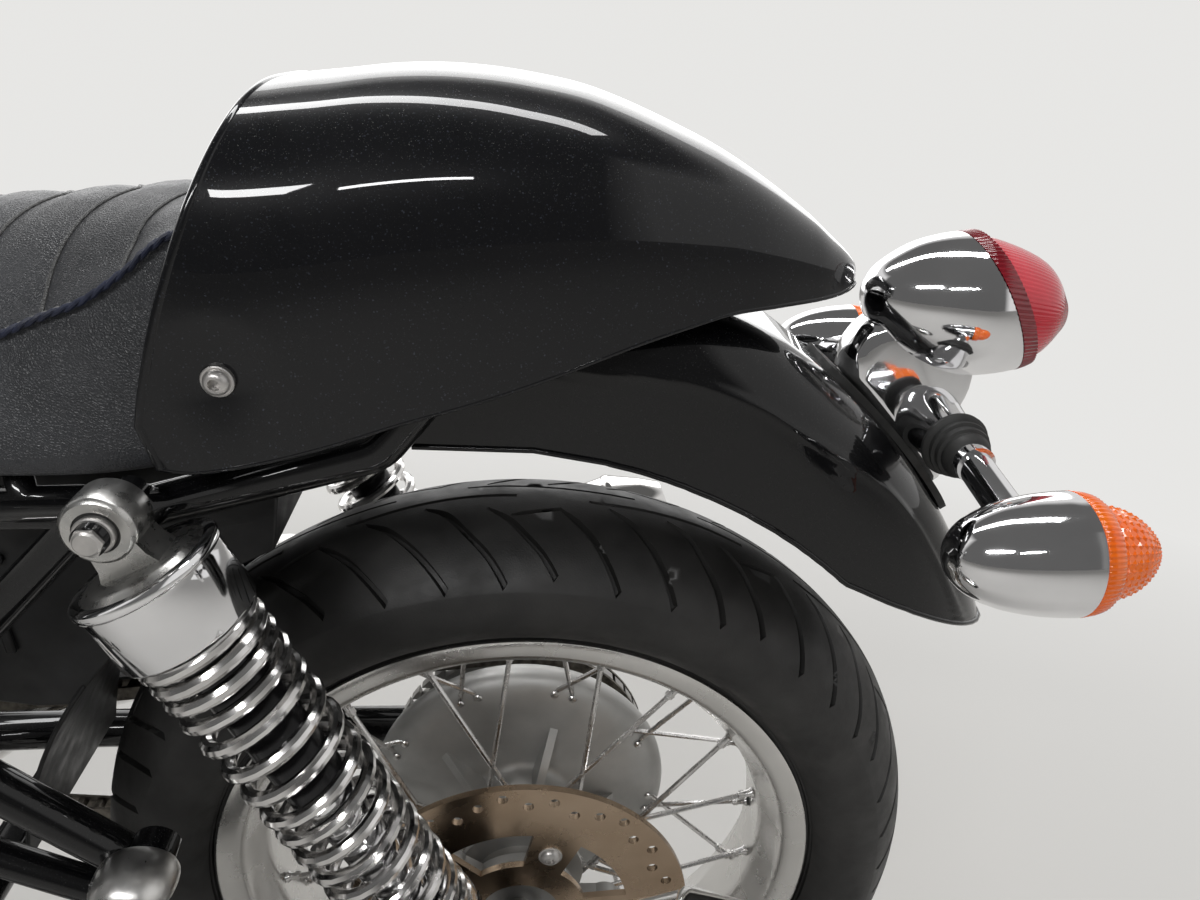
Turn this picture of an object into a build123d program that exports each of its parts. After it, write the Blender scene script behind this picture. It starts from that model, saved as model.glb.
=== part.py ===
from build123d import *
from collections import namedtuple
from math import cos, radians, sin, tan
import os

# A cafe racer motorcycle parked on its side stand, in millimetres.
# It is drawn upright, X forward from the rear axle, Y to its left and Z up from the ground,
# and every finished piece is leaned on to the stand at the end.

# Driving dimensions
WHEELBASE = 1490
RAKE = 27                  # degrees from vertical
FORK_OFFSET = 58           # from the steering axis forward to the fork legs
FORK_SPACING = 196         # between the fork legs
LEAN = 7.5                 # degrees to the left
GAP = 0.3                  # between pieces that seat on each other
SHAFT_FIT = 0.05           # radial, between a shaft and its bore

# One row for each wheel: where it turns, its tyre, its rim, its hub and its brake disc
Wheel = namedtuple("Wheel", "x radius side_y side_r shoulder_y shoulder_r lip_y lip_r seat_r axle_r "
                            "disc_y disc_r disc_inner_r disc_arms")
WHEELS = {
    "front": Wheel(WHEELBASE, 318.6, 50.5, 272, 47, 291, 36, 243.5, 229, 9, 57.5, 160, 122, 5),
    "rear": Wheel(0, 320, 69, 262, 66.5, 283, 50.5, 231, 216, 10, 77, 127.5, 82, 5),
}
FRONT, REAR = WHEELS["front"], WHEELS["rear"]
TYRE_WALL = 9
RIM_WALL = 4
RIM_WELL = 18              # from the bead seat in to the flat band that the spokes meet
SPOKE_R = 1.9
SPOKES_PER_SIDE = 18
DISC_THICKNESS = 5
DISC_CARRIER_R = 52
DISC_BOLTS_R = 65
DISC_LUG_R = 11            # the hub's lugs behind the bolts
DISC_ARM_WIDTH = 24
DISC_ARM_TURN = 112        # degrees round from straight ahead to one of the arms
DISC_HOLE_R = 4
DISC_HOLE_INSETS = (13.5, 8.5, 16.5, 11.5, 19.5)   # from the disc's edge in to each row of holes
DISC_HOLE_TURN = 77        # degrees round from straight ahead to a hole of the first row
DISC_HOLES_PER_ROW = 8

# Hub profiles as (y, r), from the right end to the left end
FRONT_HUB = [(-45, 24), (-36, 24), (-36, 50), (-30, 50), (-30, 30), (30, 30), (30, 50), (36, 50),
             (36, 36), (48, 56), (57.2, 56)]
REAR_HUB = [(-85.7, 52), (-56, 52), (-56, 124), (-48, 127), (-40, 125), (-33, 118), (-29, 106),
            (-24, 40), (40, 32), (44, 50), (50, 50), (52, 36), (60, 34), (64, 44), (76.7, 44)]
REAR_HUB_RIB = [(-30, 84), (-30, 30), (8, 30), (4, 42)]   # a rib on the drum's inner face, as (y, r)

# Side stand: its pivot, the point its foot reaches on the leaned ground and its folded direction
STAND_PIVOT = Vector(640, 112, 155)
STAND_FOOT_Y = 262
STAND_FOOT_X = 702
STAND_FOLDED = Vector(-0.985, 0.15, 0.08)
STAND_LEG_R = 11
STAND_EYE_R = 13
STAND_EYE_HALF = 7         # half the eye's length along the hinge
STAND_PIN_R = 6
REST_DEPTH = 0.67          # how far a leaned tyre reaches below the upright one
foot_point = Vector(STAND_FOOT_X, STAND_FOOT_Y,
                    STAND_FOOT_Y * tan(radians(LEAN)) - REST_DEPTH / cos(radians(LEAN)))
stand_down = (foot_point - STAND_PIVOT).normalized()
stand_hinge = stand_down.cross(STAND_FOLDED).normalized()
STAND = Plane(origin=STAND_PIVOT, x_dir=stand_down, z_dir=stand_hinge)

# Suspension points
PIVOT = Vector(525, 0, 340)
SHOCK_TOP = Vector(183, 150, 711)
SHOCK_BOTTOM = Vector(41, 150, 380)
SPRING_R = 34
SHROUD_R = 37
SHROUD_TOP = 29            # from the top eye down to the shroud's rolled rim
SHROUD_FOOT = 68
DAMPER_R = 20

# Final drive, on the right of the wheel
CHAIN_Y = -90
CHAIN_PITCH = 15.875
CHAIN_HALF_HEIGHT = 6.5
REAR_SPROCKET_R = 108.6    # pitch radius
FRONT_SPROCKET_R = 45.7    # pitch radius
FRONT_SPROCKET = (600, 345)

TUBE_R = 14                # frame tubes
RAIL_Y = 85
LOWER_RAIL_Z = 178

PIECES = {}


def wheel_axis(wheel):
    return Axis((wheel.x, 0, wheel.radius), (0, 1, 0))


def wheel_section(wheel):
    """A plane through a wheel's axle, with y across the wheel as local x and radius as local y."""
    return Plane(origin=(wheel.x, 0, wheel.radius), x_dir=(0, 1, 0), z_dir=(1, 0, 0))


def across(x):
    """The plane that cuts the bike crosswise at x, with local x to the left and local y up."""
    return Plane(origin=(x, 0, 0), x_dir=(0, 1, 0), z_dir=(1, 0, 0))


def along(y):
    """The plane that cuts the bike lengthwise at y, with local x forward and local y up."""
    return Plane(origin=(0, y, 0), x_dir=(1, 0, 0), z_dir=(0, -1, 0))


def left_of(point):
    """The plane at a point that faces the left of the bike."""
    return Plane(origin=point, x_dir=(1, 0, 0), z_dir=(0, 1, 0))


def tube(points, bend, radius, mode=Mode.ADD):
    """A round tube along straight runs joined by bends of one radius."""
    with BuildLine() as run:
        if len(points) > 2:
            FilletPolyline(*points, radius=bend)
        else:
            Line(*points)
    with BuildSketch(Plane(origin=run.line @ 0, z_dir=run.line % 0)) as wall:
        Circle(radius)
    sweep(sections=wall.sketch, path=run.line, mode=mode)


def turned(plane, outline, bore=0, smooth=False, mode=Mode.ADD):
    """A body turned about a plane's normal from (height, radius) points, closed on its bore."""
    start, end = outline[0][0], outline[-1][0]
    section = Plane(origin=plane.origin, x_dir=plane.z_dir, z_dir=plane.z_dir.cross(plane.x_dir))
    with BuildSketch(section) as half:
        with BuildLine():
            skin = Spline(*outline) if smooth else Polyline(*outline)
            Polyline(skin @ 1, (end, bore), (start, bore), skin @ 0)
        make_face()
    revolve(half.sketch, axis=Axis(plane.origin, plane.z_dir), mode=mode)


def arch(x, bottom, top, half_bottom, half_top, corner, inset=0, drop=0):
    """A crosswise section of a saddle-shaped body, flat below and crowned above."""
    crown = 0.08 * half_top
    low, high = bottom - drop, top - inset
    foot, shoulder = half_bottom - inset, half_top - inset
    with BuildSketch(across(x)) as section:
        with BuildLine():
            Line((-foot, low), (-shoulder, high - crown))
            ThreePointArc((-shoulder, high - crown), (0, high), (shoulder, high - crown))
            Line((shoulder, high - crown), (foot, low))
            Line((foot, low), (-foot, low))
        make_face()
        fillet(section.vertices().group_by(Axis.Y)[-1], max(corner - inset, 3))
    return section.sketch


def rounded(x, bottom, top, half_width, corner):
    """A crosswise rounded rectangle."""
    with BuildSketch(across(x)) as section:
        with Locations((0, (bottom + top) / 2)):
            RectangleRounded(2 * half_width, top - bottom, corner)
    return section.sketch


# Tyres, hollow, with their beads just inside the rims
def make_tyre(wheel):
    bead_y = wheel.lip_y - RIM_WALL - GAP
    with BuildPart() as tyre:
        with BuildSketch(wheel_section(wheel)):
            with BuildLine():
                outer = Line((bead_y, wheel.seat_r + GAP), (bead_y, wheel.lip_r + 2))
                side = ThreePointArc(outer @ 1, (wheel.side_y, wheel.side_r),
                                     (wheel.shoulder_y, wheel.shoulder_r))
                ThreePointArc(side @ 1, (0.55 * wheel.shoulder_y,
                                         wheel.radius - 0.28 * (wheel.radius - wheel.shoulder_r)),
                              (0, wheel.radius))
                Line((0, wheel.radius), (0, wheel.radius - TYRE_WALL))
                inner = ThreePointArc((0, wheel.radius - TYRE_WALL),
                                      (0.5 * wheel.shoulder_y, wheel.shoulder_r + 10),
                                      (wheel.shoulder_y - TYRE_WALL, wheel.shoulder_r - 8))
                Polyline(inner @ 1, (bead_y - TYRE_WALL, wheel.lip_r + 2),
                         (bead_y - TYRE_WALL, wheel.seat_r + GAP), outer @ 0)
            make_face()
            mirror(about=Plane.YZ)
        revolve(axis=wheel_axis(wheel))
    return tyre.part


# Rims, a rolled channel with a flat band on the inside
def make_rim(wheel):
    band_r = wheel.seat_r - RIM_WELL
    with BuildPart() as rim:
        with BuildSketch(wheel_section(wheel)):
            with BuildLine():
                Polyline((0, band_r + RIM_WALL), (18, band_r + RIM_WALL), (26, wheel.seat_r - 1),
                         (wheel.lip_y - RIM_WALL, wheel.seat_r), (wheel.lip_y - RIM_WALL, wheel.lip_r),
                         (wheel.lip_y, wheel.lip_r), (wheel.lip_y, wheel.seat_r),
                         (wheel.lip_y - 8, wheel.seat_r - RIM_WALL - 1), (22, band_r), (0, band_r),
                         close=True)
            make_face()
            mirror(about=Plane.YZ)
        revolve(axis=wheel_axis(wheel))
    return rim.part


# Hubs with their spokes, which cross each other in pairs
def make_hub(wheel, outline, sides):
    band_r = wheel.seat_r - RIM_WELL
    axis = wheel_axis(wheel)
    bore = wheel.axle_r + SHAFT_FIT
    spokes = []
    with BuildPart() as hub:
        for flange_y, flange_r, lead in sides:
            rim_y = 11 if flange_y > 0 else -11
            for number in range(SPOKES_PER_SIDE):
                rim_angle = 360 / SPOKES_PER_SIDE * (number + (0.5 if flange_y > 0 else 0))
                hub_angle = rim_angle + (lead if number % 2 else -lead)
                start = Vector(wheel.x + flange_r * cos(radians(hub_angle)), flange_y,
                               wheel.radius + flange_r * sin(radians(hub_angle)))
                end = Vector(wheel.x + (band_r + 3) * cos(radians(rim_angle)), rim_y,
                             wheel.radius + (band_r + 3) * sin(radians(rim_angle)))
                spokes.append(Solid.make_cylinder(SPOKE_R, (end - start).length,
                                                  Plane(origin=start, z_dir=end - start)))
        add(spokes)
        with BuildSketch(Plane(origin=(wheel.x, 0, wheel.radius), x_dir=(1, 0, 0), z_dir=(0, 1, 0))):
            Circle(band_r - GAP)
        extrude(amount=60, both=True, mode=Mode.INTERSECT)
        with BuildSketch(wheel_section(wheel)):
            with BuildLine():
                Polyline((outline[0][0], bore), *outline, (outline[-1][0], bore), close=True)
            make_face()
        revolve(axis=axis)
        if outline is REAR_HUB:
            for arm in range(wheel.disc_arms):
                turn = radians(DISC_ARM_TURN + 360 / wheel.disc_arms * arm)
                radial = Plane(origin=(wheel.x, 0, wheel.radius), x_dir=(0, 1, 0),
                               z_dir=(sin(turn), 0, -cos(turn)))
                with BuildSketch(radial) as rib:
                    with BuildLine():
                        Polyline(*REAR_HUB_RIB, close=True)
                    make_face()
                extrude(rib.sketch, amount=3.5, both=True)
            with BuildSketch(Plane(origin=(wheel.x, outline[-2][0], wheel.radius), x_dir=(1, 0, 0),
                                   z_dir=(0, 1, 0))) as lugs:
                with PolarLocations(DISC_BOLTS_R / 2 + 10, wheel.disc_arms, start_angle=-DISC_ARM_TURN):
                    Rectangle(DISC_BOLTS_R - 20, 20)
                with PolarLocations(DISC_BOLTS_R, wheel.disc_arms, start_angle=-DISC_ARM_TURN):
                    Circle(DISC_LUG_R)
                Circle(wheel.axle_r + 15, mode=Mode.SUBTRACT)
            extrude(lugs.sketch, amount=outline[-1][0] - outline[-2][0])
    return hub.part


# Brake discs, a drilled ring with windows between the arms that carry it
def make_disc(wheel):
    with BuildPart() as disc:
        with BuildSketch(Plane(origin=(wheel.x, wheel.disc_y, wheel.radius), x_dir=(1, 0, 0),
                               z_dir=(0, 1, 0))):
            Circle(wheel.disc_r)
            Circle(wheel.disc_inner_r, mode=Mode.SUBTRACT)
            Circle(DISC_CARRIER_R)
            with PolarLocations((DISC_CARRIER_R + wheel.disc_inner_r) / 2, wheel.disc_arms,
                                start_angle=-DISC_ARM_TURN):
                Rectangle(wheel.disc_inner_r - DISC_CARRIER_R + 8, DISC_ARM_WIDTH)
            Circle(30, mode=Mode.SUBTRACT)
            for row, inset in enumerate(DISC_HOLE_INSETS):
                step = 360 / DISC_HOLES_PER_ROW / len(DISC_HOLE_INSETS)
                with PolarLocations(wheel.disc_r - inset, DISC_HOLES_PER_ROW,
                                    start_angle=-DISC_HOLE_TURN - step * row):
                    Circle(DISC_HOLE_R, mode=Mode.SUBTRACT)
        extrude(amount=DISC_THICKNESS)
    return disc.part


HUB_SIDES = {
    "front": (FRONT_HUB, [(33, 47, 38), (-33, 47, 38)]),
    "rear": (REAR_HUB, [(47, 47, 38), (-36, 114, 14)]),
}
for end, wheel in WHEELS.items():
    outline, sides = HUB_SIDES[end]
    PIECES[f"{end}_tyre"] = make_tyre(wheel)
    PIECES[f"{end}_rim"] = make_rim(wheel)
    PIECES[f"{end}_hub"] = make_hub(wheel, outline, sides)
    PIECES[f"{end}_disc"] = make_disc(wheel)

# Rear sprocket, with square-cut teeth that the chain runs over
SPROCKET_TEETH = 44
SPROCKET_THICKNESS = 8
with BuildPart() as rear_sprocket:
    with BuildSketch(Plane(origin=(0, CHAIN_Y - SPROCKET_THICKNESS / 2, REAR.radius), x_dir=(1, 0, 0),
                           z_dir=(0, 1, 0))):
        Circle(REAR_SPROCKET_R + 6)
        with PolarLocations(REAR_SPROCKET_R + 4, SPROCKET_TEETH):
            Trapezoid(13, 9, 125, rotation=90, mode=Mode.SUBTRACT)
        Circle(38, mode=Mode.SUBTRACT)
        with PolarLocations(74, 6):
            Circle(17, mode=Mode.SUBTRACT)
    extrude(amount=SPROCKET_THICKNESS)
PIECES["rear_sprocket"] = rear_sprocket.part

# Chain, two rows of side plates joined by rollers on the straight runs
CHAIN_GAP = 11
CHAIN_PLATE = 2.5
CHAIN_HALF_WIDTH = CHAIN_GAP / 2 + CHAIN_PLATE
with BuildPart() as chain:
    belt = []
    for grow in (CHAIN_HALF_HEIGHT, -CHAIN_HALF_HEIGHT):
        with BuildSketch(along(CHAIN_Y)) as loop:
            with Locations((0, REAR.radius)):
                Circle(REAR_SPROCKET_R + grow)
            with Locations(FRONT_SPROCKET):
                Circle(FRONT_SPROCKET_R + grow)
            make_hull()
        belt.append(loop.sketch)
    extrude(belt[0], amount=CHAIN_HALF_WIDTH, both=True)
    extrude(belt[1], amount=CHAIN_HALF_WIDTH, both=True, mode=Mode.SUBTRACT)
    with BuildSketch(along(CHAIN_Y)) as slot:
        add(belt[0])
    extrude(slot.sketch, amount=CHAIN_GAP / 2, both=True, mode=Mode.SUBTRACT)
    run_length = Vector(FRONT_SPROCKET[0], FRONT_SPROCKET[1] - REAR.radius).length
    rollers = []
    for above in (1, -1):
        rear_end = Vector(0, REAR.radius + above * REAR_SPROCKET_R)
        front_end = Vector(FRONT_SPROCKET[0], FRONT_SPROCKET[1] + above * FRONT_SPROCKET_R)
        step = (front_end - rear_end).normalized() * CHAIN_PITCH
        rollers += [rear_end + step * link for link in range(5, int(run_length / CHAIN_PITCH) - 1)]
    with BuildSketch(along(CHAIN_Y)) as roller_ends:
        with Locations(*rollers):
            RegularPolygon(5, 6)
    extrude(roller_ends.sketch, amount=CHAIN_GAP / 2 + 0.5, both=True)
PIECES["chain"] = chain.part

# Swingarm, a boss on each side of the pivot and two arms with slotted end plates
ARM_Y = 122
ARM_R = 17
PLATE_HALF = 7             # half the thickness of an end plate
BOBBIN_X = -34             # the paddock stand bobbins' holes
BOBBIN_R = 4
ARM_BEND = (380, 338)      # x and z where an arm starts to fall towards the axle
ARM_END = (60, REAR.radius)


def arm_top(x):
    """The height of an arm's upper side between its bend and its end."""
    fall = (ARM_BEND[1] - ARM_END[1]) / (ARM_BEND[0] - ARM_END[0])
    return ARM_END[1] + fall * (x - ARM_END[0]) + ARM_R


with BuildPart() as swingarm:
    for hand in (1, -1):
        tube([(PIVOT.X, hand * 96, PIVOT.Z), (PIVOT.X, hand * 140, PIVOT.Z)], 0, 24)
        tube([(PIVOT.X - 10, hand * 118, PIVOT.Z), (ARM_BEND[0], hand * 118, ARM_BEND[1]),
              (ARM_END[0], hand * ARM_Y, ARM_END[1])], 200, ARM_R)
        with BuildSketch(along(hand * ARM_Y)) as plate:
            with Locations((20, REAR.radius)):
                SlotOverall(140, 54)
        extrude(plate.sketch, amount=PLATE_HALF, both=True)
        with BuildSketch(along(hand * ARM_Y)) as lug:
            with BuildLine():
                Polyline((SHOCK_BOTTOM.X - 26, REAR.radius + 10), (SHOCK_BOTTOM.X - 16, SHOCK_BOTTOM.Z + 12),
                         (SHOCK_BOTTOM.X + 16, SHOCK_BOTTOM.Z + 12), (SHOCK_BOTTOM.X + 44, REAR.radius + 10),
                         close=True)
            make_face()
        extrude(lug.sketch, amount=6, both=True)
        tube([(SHOCK_BOTTOM.X, hand * 116, SHOCK_BOTTOM.Z), (SHOCK_BOTTOM.X, hand * 170, SHOCK_BOTTOM.Z)],
             0, 8)
    tube([(400, -118, 338), (400, 118, 338)], 0, 16)
    tube([(0, -145, REAR.radius), (0, 145, REAR.radius)], 0, REAR.axle_r + SHAFT_FIT, Mode.SUBTRACT)
    tube([(BOBBIN_X, -145, REAR.radius), (BOBBIN_X, 145, REAR.radius)], 0, BOBBIN_R, Mode.SUBTRACT)
PIECES["swingarm"] = swingarm.part

# Rear axle, with its nuts and the collars that keep the wheel off the arms
with BuildPart() as rear_axle:
    tube([(0, -160, REAR.radius), (0, 160, REAR.radius)], 0, REAR.axle_r)
    for hand in (1, -1):
        with BuildSketch(along(hand * (ARM_Y + PLATE_HALF + GAP))) as nut:
            with Locations((0, REAR.radius)):
                RegularPolygon(17, 6)
        extrude(nut.sketch, amount=-hand * 14)
    tube([(0, REAR.disc_y + DISC_THICKNESS + 3, REAR.radius), (0, ARM_Y - PLATE_HALF - GAP, REAR.radius)], 0, 17)
    tube([(0, CHAIN_Y - 8, REAR.radius), (0, -ARM_Y + PLATE_HALF + GAP, REAR.radius)], 0, 17)
PIECES["rear_axle"] = rear_axle.part

# Steering geometry: a plane at the front axle whose z runs up the fork legs
steer_up = Vector(-sin(radians(RAKE)), 0, cos(radians(RAKE)))
steer_forward = Vector(cos(radians(RAKE)), 0, sin(radians(RAKE)))
FORK = Plane(origin=(WHEELBASE, 0, FRONT.radius), x_dir=steer_forward, z_dir=steer_up)
LOWER_YOKE = 468
TOP_YOKE = 652
HEAD_TUBE = (LOWER_YOKE + 30 + 2, TOP_YOKE - 2)
STEM_R = 15


def fork_point(x, y, z):
    """A point given forward, left and up from the front axle, along the fork legs."""
    return FORK.from_local_coords(Vector(x, y, z))


# Frame spine: the steering head, the big tube under the tank and its cross tube
HEAD_R = 29
SPINE_R = 22
SPINE_FRONT = (WHEELBASE - 314, 0, 800)
SPINE_REAR = (600, 0, 736)
CROSS_Z = 722
TUNNEL_HALF = 28           # half the width of the tank's tunnel
TANK_FRONT = WHEELBASE - 408
TANK_REAR = 612
TANK_PADS = [(TANK_FRONT - 42, 790), (TANK_REAR + 48, 764)]


def head_tube(radius, mode=Mode.ADD, reach=0):
    """The steering head as a plain cylinder."""
    with BuildSketch(FORK.offset(HEAD_TUBE[0] - reach)) as head:
        with Locations((-FORK_OFFSET, 0)):
            Circle(radius)
    extrude(head.sketch, amount=HEAD_TUBE[1] - HEAD_TUBE[0] + 2 * reach, mode=mode)


with BuildPart() as frame_spine:
    head_tube(HEAD_R)
    tube([SPINE_FRONT, SPINE_REAR], 0, SPINE_R)
    tube([(SPINE_REAR[0], -62, CROSS_Z), (SPINE_REAR[0], 62, CROSS_Z)], 0, TUBE_R)
    with BuildSketch(along(0)) as gusset:
        with BuildLine():
            Polyline((WHEELBASE - 300, 800), (WHEELBASE - 284, 752), (WHEELBASE - 302, 748),
                     (WHEELBASE - 450, 772), (WHEELBASE - 450, 788), close=True)
        make_face()
    extrude(gusset.sketch, amount=4, both=True)
    for x, z in TANK_PADS:
        tube([(x, -TUNNEL_HALF + GAP, z), (x, TUNNEL_HALF - GAP, z)], 0, 8)
    head_tube(STEM_R + SHAFT_FIT, Mode.SUBTRACT, reach=1)
PIECES["frame_spine"] = frame_spine.part

# Seat rails from the cross tube back under the seat and up over the rear mudguard
RAIL_R = 12
SHOCK_ARM_TOP = 690        # the rails' height where the shock absorbers' arms leave them
SHOCK_RAIL_Y = 98


def seat_rail(hand, radius, mode=Mode.ADD):
    """One seat rail, with half of the hoop that joins the pair behind the seat."""
    tube([(SPINE_REAR[0], hand * 48, CROSS_Z - 2), (508, hand * 62, CROSS_Z - 4),
          (420, hand * 86, SHOCK_ARM_TOP + 16), (330, hand * SHOCK_RAIL_Y, SHOCK_ARM_TOP + 2),
          (185, hand * SHOCK_RAIL_Y, SHOCK_ARM_TOP), (62, hand * 102, 722),
          (26, hand * 96, 762), (18, hand * 60, 812), (18, 0, 812)], 22, radius, mode)


def tail_stay(hand, radius, mode=Mode.ADD):
    """The stay from the upright below the seat up to the rail."""
    tube([(505, hand * 76, 480), (300, hand * 108, 610), (215, hand * SHOCK_RAIL_Y, SHOCK_ARM_TOP)], 60,
         radius, mode)


STAY_R = 11
UPRIGHT = (508, 62)
# x, rail y, rail z and seat underside
SEAT_POSTS = [(400, 89, SHOCK_ARM_TOP + 13, 728), (250, SHOCK_RAIL_Y, SHOCK_ARM_TOP + 1, SHOCK_ARM_TOP + 23)]
with BuildPart() as frame_tail:
    for hand in (1, -1):
        seat_rail(hand, RAIL_R)
        tube([(SHOCK_TOP.X, hand * SHOCK_RAIL_Y, SHOCK_ARM_TOP), (SHOCK_TOP.X, hand * 126, SHOCK_TOP.Z - 8)], 0, 11)
        tube([(SHOCK_TOP.X, hand * 119, SHOCK_TOP.Z), (SHOCK_TOP.X, hand * 170, SHOCK_TOP.Z)], 0, 8)
        tail_stay(hand, STAY_R)
        for x, rail_y, rail_z, seat_z in SEAT_POSTS:
            tube([(x, hand * rail_y, rail_z), (x, hand * rail_y, seat_z - 2 * GAP)], 0, 7)
        tube([(UPRIGHT[0], hand * UPRIGHT[1], 440), (UPRIGHT[0], hand * UPRIGHT[1], 520)], 0, TUBE_R + GAP,
             Mode.SUBTRACT)
    tube([(SPINE_REAR[0], -64, CROSS_Z), (SPINE_REAR[0], 64, CROSS_Z)], 0, TUBE_R + GAP, Mode.SUBTRACT)
PIECES["frame_tail"] = frame_tail.part

# Frame cradle: twin tubes down the front, under the engine and up behind it
def cradle_tube(hand, radius, mode=Mode.ADD):
    """One side of the cradle, from the steering head to the seat rail."""
    tube([(WHEELBASE - 302, hand * 14, 778), (1085, hand * 80, 560), (1018, hand * RAIL_Y, 250),
          (950, hand * RAIL_Y, LOWER_RAIL_Z), (600, hand * RAIL_Y, LOWER_RAIL_Z),
          (UPRIGHT[0], hand * UPRIGHT[1], 250),
          (UPRIGHT[0], hand * UPRIGHT[1], 716)], 40, radius, mode)


with BuildPart() as frame_cradle:
    for hand in (1, -1):
        cradle_tube(hand, TUBE_R)
        tube([(PIVOT.X, hand * 50, PIVOT.Z), (PIVOT.X, hand * 95.7, PIVOT.Z)], 0, 24)
    tube([(PIVOT.X, -60, PIVOT.Z), (PIVOT.X, 60, PIVOT.Z)], 0, 18)
    tube([(700, -RAIL_Y, LOWER_RAIL_Z), (700, RAIL_Y, LOWER_RAIL_Z)], 0, 12)
    for side in (1, -1):
        with BuildSketch(STAND.offset(side * (STAND_EYE_HALF + GAP))) as cheek:
            Circle(STAND_EYE_R)
            for x in (STAND_PIVOT.X - 16, STAND_PIVOT.X + 16):
                rail = STAND.to_local_coords(Vector(x, RAIL_Y, LOWER_RAIL_Z))
                with Locations((rail.X, rail.Y)):
                    Circle(8)
            make_hull()
        extrude(cheek.sketch, amount=side * 5)
    tube([STAND_PIVOT - stand_hinge * 15, STAND_PIVOT + stand_hinge * 15], 0, STAND_PIN_R)
    head_tube(HEAD_R + GAP, Mode.SUBTRACT, reach=1)
    for hand in (1, -1):
        seat_rail(hand, RAIL_R + GAP, Mode.SUBTRACT)
PIECES["frame_cradle"] = frame_cradle.part

# Engine crankcase, with the gearbox behind and the sprocket's recess on the right
CASE_HALF = 105
with BuildPart() as engine_crankcase:
    with BuildSketch(along(0)):
        with BuildLine():
            Polyline((572, 400), (572, 290), (620, 222), (900, 214), (962, 270), (966, 420), (905, 468),
                     (650, 468), close=True)
        make_face()
        fillet(vertices(), 24)
    extrude(amount=CASE_HALF, both=True)
    with BuildSketch(along(CHAIN_Y)):
        with Locations(FRONT_SPROCKET):
            Rectangle(110, 118)
    extrude(amount=20, both=True, mode=Mode.SUBTRACT)
    with BuildSketch(along(CHAIN_Y + 20)):
        with Locations(FRONT_SPROCKET):
            Circle(14)
    extrude(amount=26)
    with BuildSketch(along(CHAIN_Y + CHAIN_HALF_WIDTH)):
        with Locations(FRONT_SPROCKET):
            Circle(FRONT_SPROCKET_R - CHAIN_HALF_HEIGHT - GAP)
    extrude(amount=2 * CHAIN_HALF_WIDTH)
PIECES["engine_crankcase"] = engine_crankcase.part

# Round engine covers, the clutch's on the right and the alternator's on the left
with BuildPart() as engine_covers:
    with BuildSketch(along(CASE_HALF + GAP)):
        with Locations((862, 345)):
            Circle(84)
    extrude(amount=-38, taper=14)
    with BuildSketch(along(CASE_HALF + GAP)):
        with Locations((690, 345)):
            Circle(64)
    extrude(amount=-22, taper=14)
    with BuildSketch(along(-CASE_HALF - GAP)):
        with Locations((770, 345)):
            Circle(88)
        with Locations((882, 350)):
            Circle(58)
        make_hull()
    extrude(amount=34, taper=14)
PIECES["engine_covers"] = engine_covers.part

# Finned barrels and cylinder head
BARREL_X = 808
BARREL_FOOT = 468 + GAP
FIN_PITCH = 15
FIN_THICKNESS = 5
PORT_Y = 52
PORT_Z = 642
PORT_REACH = 94            # from the barrels' middle to a port's face
with BuildPart() as engine_barrels:
    with BuildSketch(Plane.XY.offset(BARREL_FOOT)):
        with Locations((BARREL_X, 0)):
            RectangleRounded(112, 200, 20)
    extrude(amount=262)
    for level in range(14):
        with BuildSketch(Plane.XY.offset(BARREL_FOOT + 18 + FIN_PITCH * level)):
            with Locations((BARREL_X, 0)):
                RectangleRounded(156 if level < 9 else 176, 236 if level < 9 else 252, 16)
        extrude(amount=FIN_THICKNESS)
    for hand in (1, -1):
        with BuildSketch(across(BARREL_X - 62)):
            with Locations((hand * 56, 700)):
                RectangleRounded(92, 60, 20)
        extrude(amount=124)
        tube([(BARREL_X - PORT_REACH, hand * PORT_Y, PORT_Z), (BARREL_X + PORT_REACH, hand * PORT_Y, PORT_Z)],
             0, 25)
PIECES["engine_barrels"] = engine_barrels.part

# Carburettors behind the head, and the air box behind them
AIRBOX_FRONT = 640
AIRBOX_HALF = 92
with BuildPart() as carburettors:
    for hand in (1, -1):
        tube([(BARREL_X - PORT_REACH - GAP, hand * PORT_Y, PORT_Z),
              (AIRBOX_FRONT + GAP, hand * PORT_Y, PORT_Z)], 0, 22)
        with BuildSketch(Plane.XY.offset(582)):
            with Locations((676, hand * PORT_Y)):
                RectangleRounded(42, 58, 12)
        extrude(amount=100)
PIECES["carburettors"] = carburettors.part

with BuildPart() as airbox:
    with BuildSketch(along(0)):
        with BuildLine():
            Polyline((AIRBOX_FRONT, 600), (AIRBOX_FRONT, 668), (600, 690), (545, 690), (545, 500),
                     (600, 500), close=True)
        make_face()
    extrude(amount=AIRBOX_HALF, both=True)
PIECES["airbox"] = airbox.part

# Side panels, with a rounded triangular outline
with BuildPart() as side_panels:
    with BuildSketch(along(AIRBOX_HALF + GAP)):
        with BuildLine():
            Polyline((640, 690), (520, 690), (420, 640), (520, 480), (600, 480), close=True)
        make_face()
        fillet(vertices(), 20)
    extrude(amount=-5)
    mirror(about=Plane.XZ)
PIECES["side_panels"] = side_panels.part

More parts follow.
